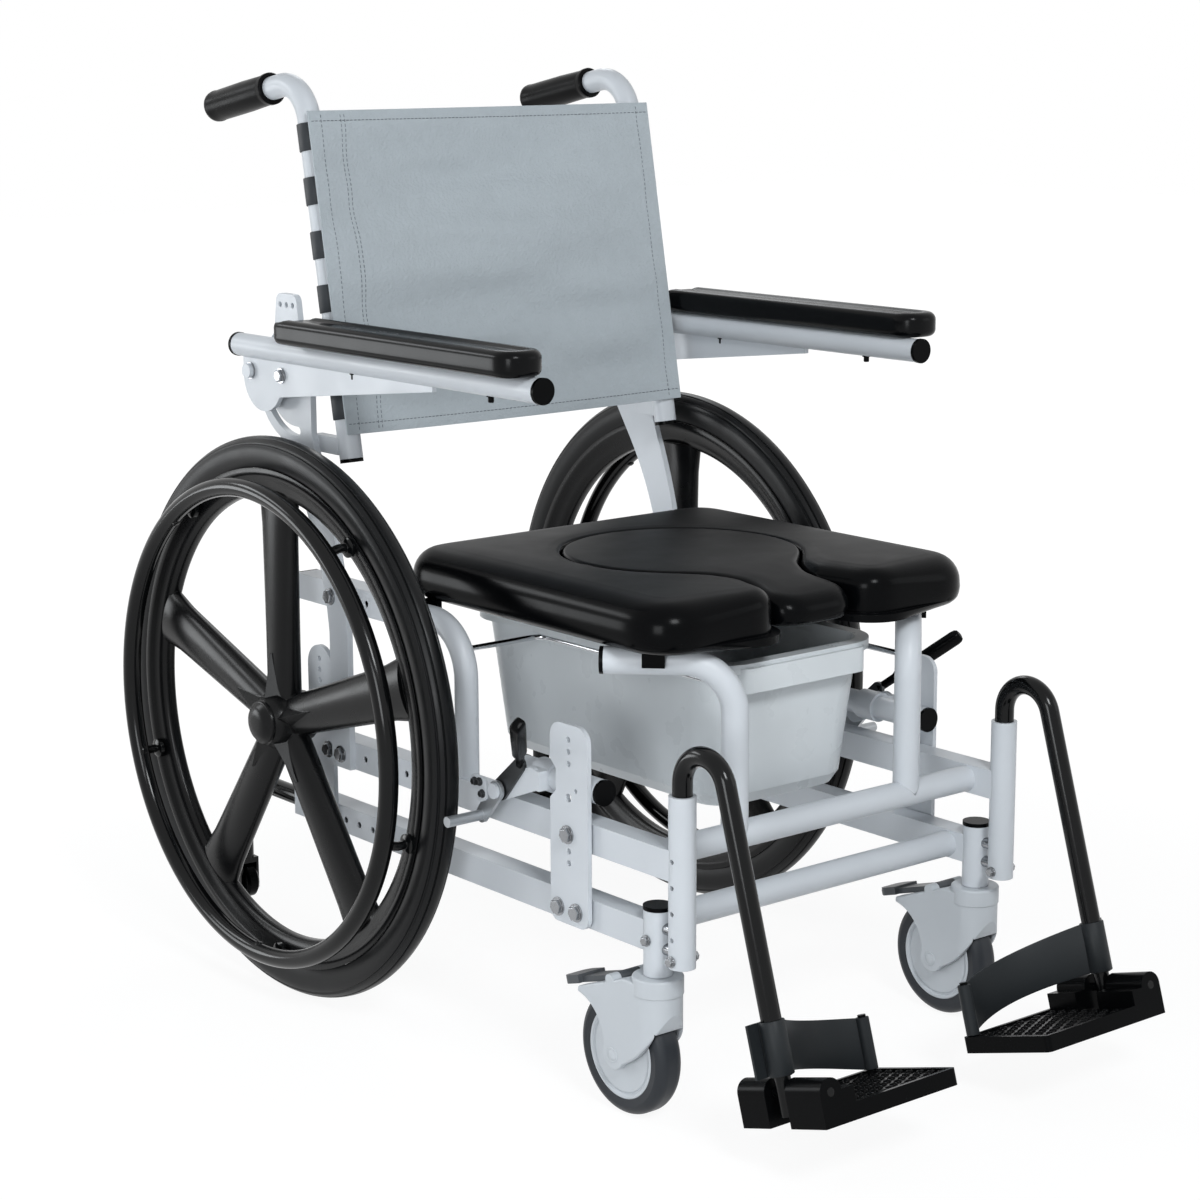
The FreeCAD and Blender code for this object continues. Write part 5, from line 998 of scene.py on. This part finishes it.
def seen_rays(tree):
    """1 for camera, glossy and transmission rays."""
    path = tree.nodes.new("ShaderNodeLightPath")
    found = path.outputs["Is Camera Ray"]
    for name in ("Is Glossy Ray", "Is Transmission Ray"):
        either = tree.nodes.new("ShaderNodeMath")
        either.operation = "MAXIMUM"
        tree.links.new(found, either.inputs[0])
        tree.links.new(path.outputs[name], either.inputs[1])
        found = either.outputs["Value"]
    return found


def studio_world():
    world = bpy.data.worlds.new("studio")
    world.use_nodes = True
    bpy.context.scene.world = world
    tree = world.node_tree
    glow = tree.nodes.new("ShaderNodeBackground")
    glow.inputs["Color"].default_value = (0.93, 0.96, 1.0, 1)
    glow.inputs["Strength"].default_value = AMBIENT
    white = tree.nodes.new("ShaderNodeBackground")
    white.inputs["Color"].default_value = (1, 1, 1, 1)
    mix = tree.nodes.new("ShaderNodeMixShader")
    tree.links.new(seen_rays(tree), mix.inputs["Fac"])
    tree.links.new(glow.outputs["Background"], mix.inputs[1])
    tree.links.new(white.outputs["Background"], mix.inputs[2])
    tree.links.new(mix.outputs["Shader"], tree.nodes["World Output"].inputs["Surface"])


def lamp(name, at, target, size, power):
    data = bpy.data.lights.new(name, "AREA")
    data.shape = "RECTANGLE"
    data.size, data.size_y = size
    data.energy = power
    data.color = LAMP_COLOUR
    item = bpy.data.objects.new(name, data)
    item.location = at
    item.rotation_euler = (Vector(target) - Vector(at)).to_track_quat("-Z", "Y").to_euler()
    bpy.context.scene.collection.objects.link(item)


def floor():
    """Pale floor that keeps the shadow near the chair and fades to plain white further out."""
    mesh = bpy.data.meshes.new("floor")
    corners = ((-1, -1), (1, -1), (1, 1), (-1, 1))
    mesh.from_pydata([(x * FLOOR_SIZE, y * FLOOR_SIZE, 0) for x, y in corners], [], [(0, 1, 2, 3)])
    item = bpy.data.objects.new("floor", mesh)
    bpy.context.scene.collection.objects.link(item)
    made = bpy.data.materials.new("pale_floor")
    made.use_nodes = True
    tree = made.node_tree
    shader = tree.nodes["Principled BSDF"]
    shader.inputs["Base Color"].default_value = (0.9, 0.9, 0.9, 1)
    shader.inputs["Roughness"].default_value = 0.9
    glow = tree.nodes.new("ShaderNodeEmission")
    glow.inputs["Color"].default_value = (1, 1, 1, 1)
    glow.inputs["Strength"].default_value = FLOOR_GLOW
    place = tree.nodes.new("ShaderNodeTexCoord")
    reach = tree.nodes.new("ShaderNodeVectorMath")
    reach.operation = "LENGTH"
    tree.links.new(place.outputs["Object"], reach.inputs[0])
    share = tree.nodes.new("ShaderNodeMapRange")
    share.interpolation_type = "SMOOTHSTEP"
    for socket, value in (("From Min", 0.5), ("From Max", 2.0), ("To Min", 0.86), ("To Max", 1.0)):
        share.inputs[socket].default_value = value
    tree.links.new(reach.outputs["Value"], share.inputs["Value"])
    seen = tree.nodes.new("ShaderNodeMath")
    seen.operation = "MULTIPLY"
    tree.links.new(seen_rays(tree), seen.inputs[0])
    tree.links.new(share.outputs["Result"], seen.inputs[1])
    mix = tree.nodes.new("ShaderNodeMixShader")
    tree.links.new(seen.outputs["Value"], mix.inputs["Fac"])
    tree.links.new(shader.outputs["BSDF"], mix.inputs[1])
    tree.links.new(glow.outputs["Emission"], mix.inputs[2])
    tree.links.new(mix.outputs["Shader"], tree.nodes["Material Output"].inputs["Surface"])
    item.data.materials.append(made)
    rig.stage(item)


# The stage
camera()
studio_world()
bpy.context.scene.view_settings.view_transform = "Standard"
lamp("side", (-1.8, 2.13, 0.52), (-0.2, 0, 0.55), (0.95, 0.75), 15)
lamp("strip", (-1.5, 1.9, 1.6), (-0.2, -0.1, 0.5), (1.1, 0.4), 11)
lamp("left", (-2.45, -1.6, 0.95), (-0.15, -0.1, 0.4), (0.9, 1.0), 26)
lamp("key", (-0.95, -2.7, 2.5), (0, 0, 0.5), (0.8, 0.8), 56)
lamp("front", (1.9, -2.0, 1.3), (0, 0, 0.45), (1.0, 1.0), 3)
lamp("back", (1.4, 2.2, 2.4), (0, 0, 0.6), (0.8, 0.8), 9)
floor()

with open("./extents.json", "w") as out:
    json.dump({"cad": [list(corner) for corner in cad_box], "visual": [list(corner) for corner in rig.bounds()]}, out)
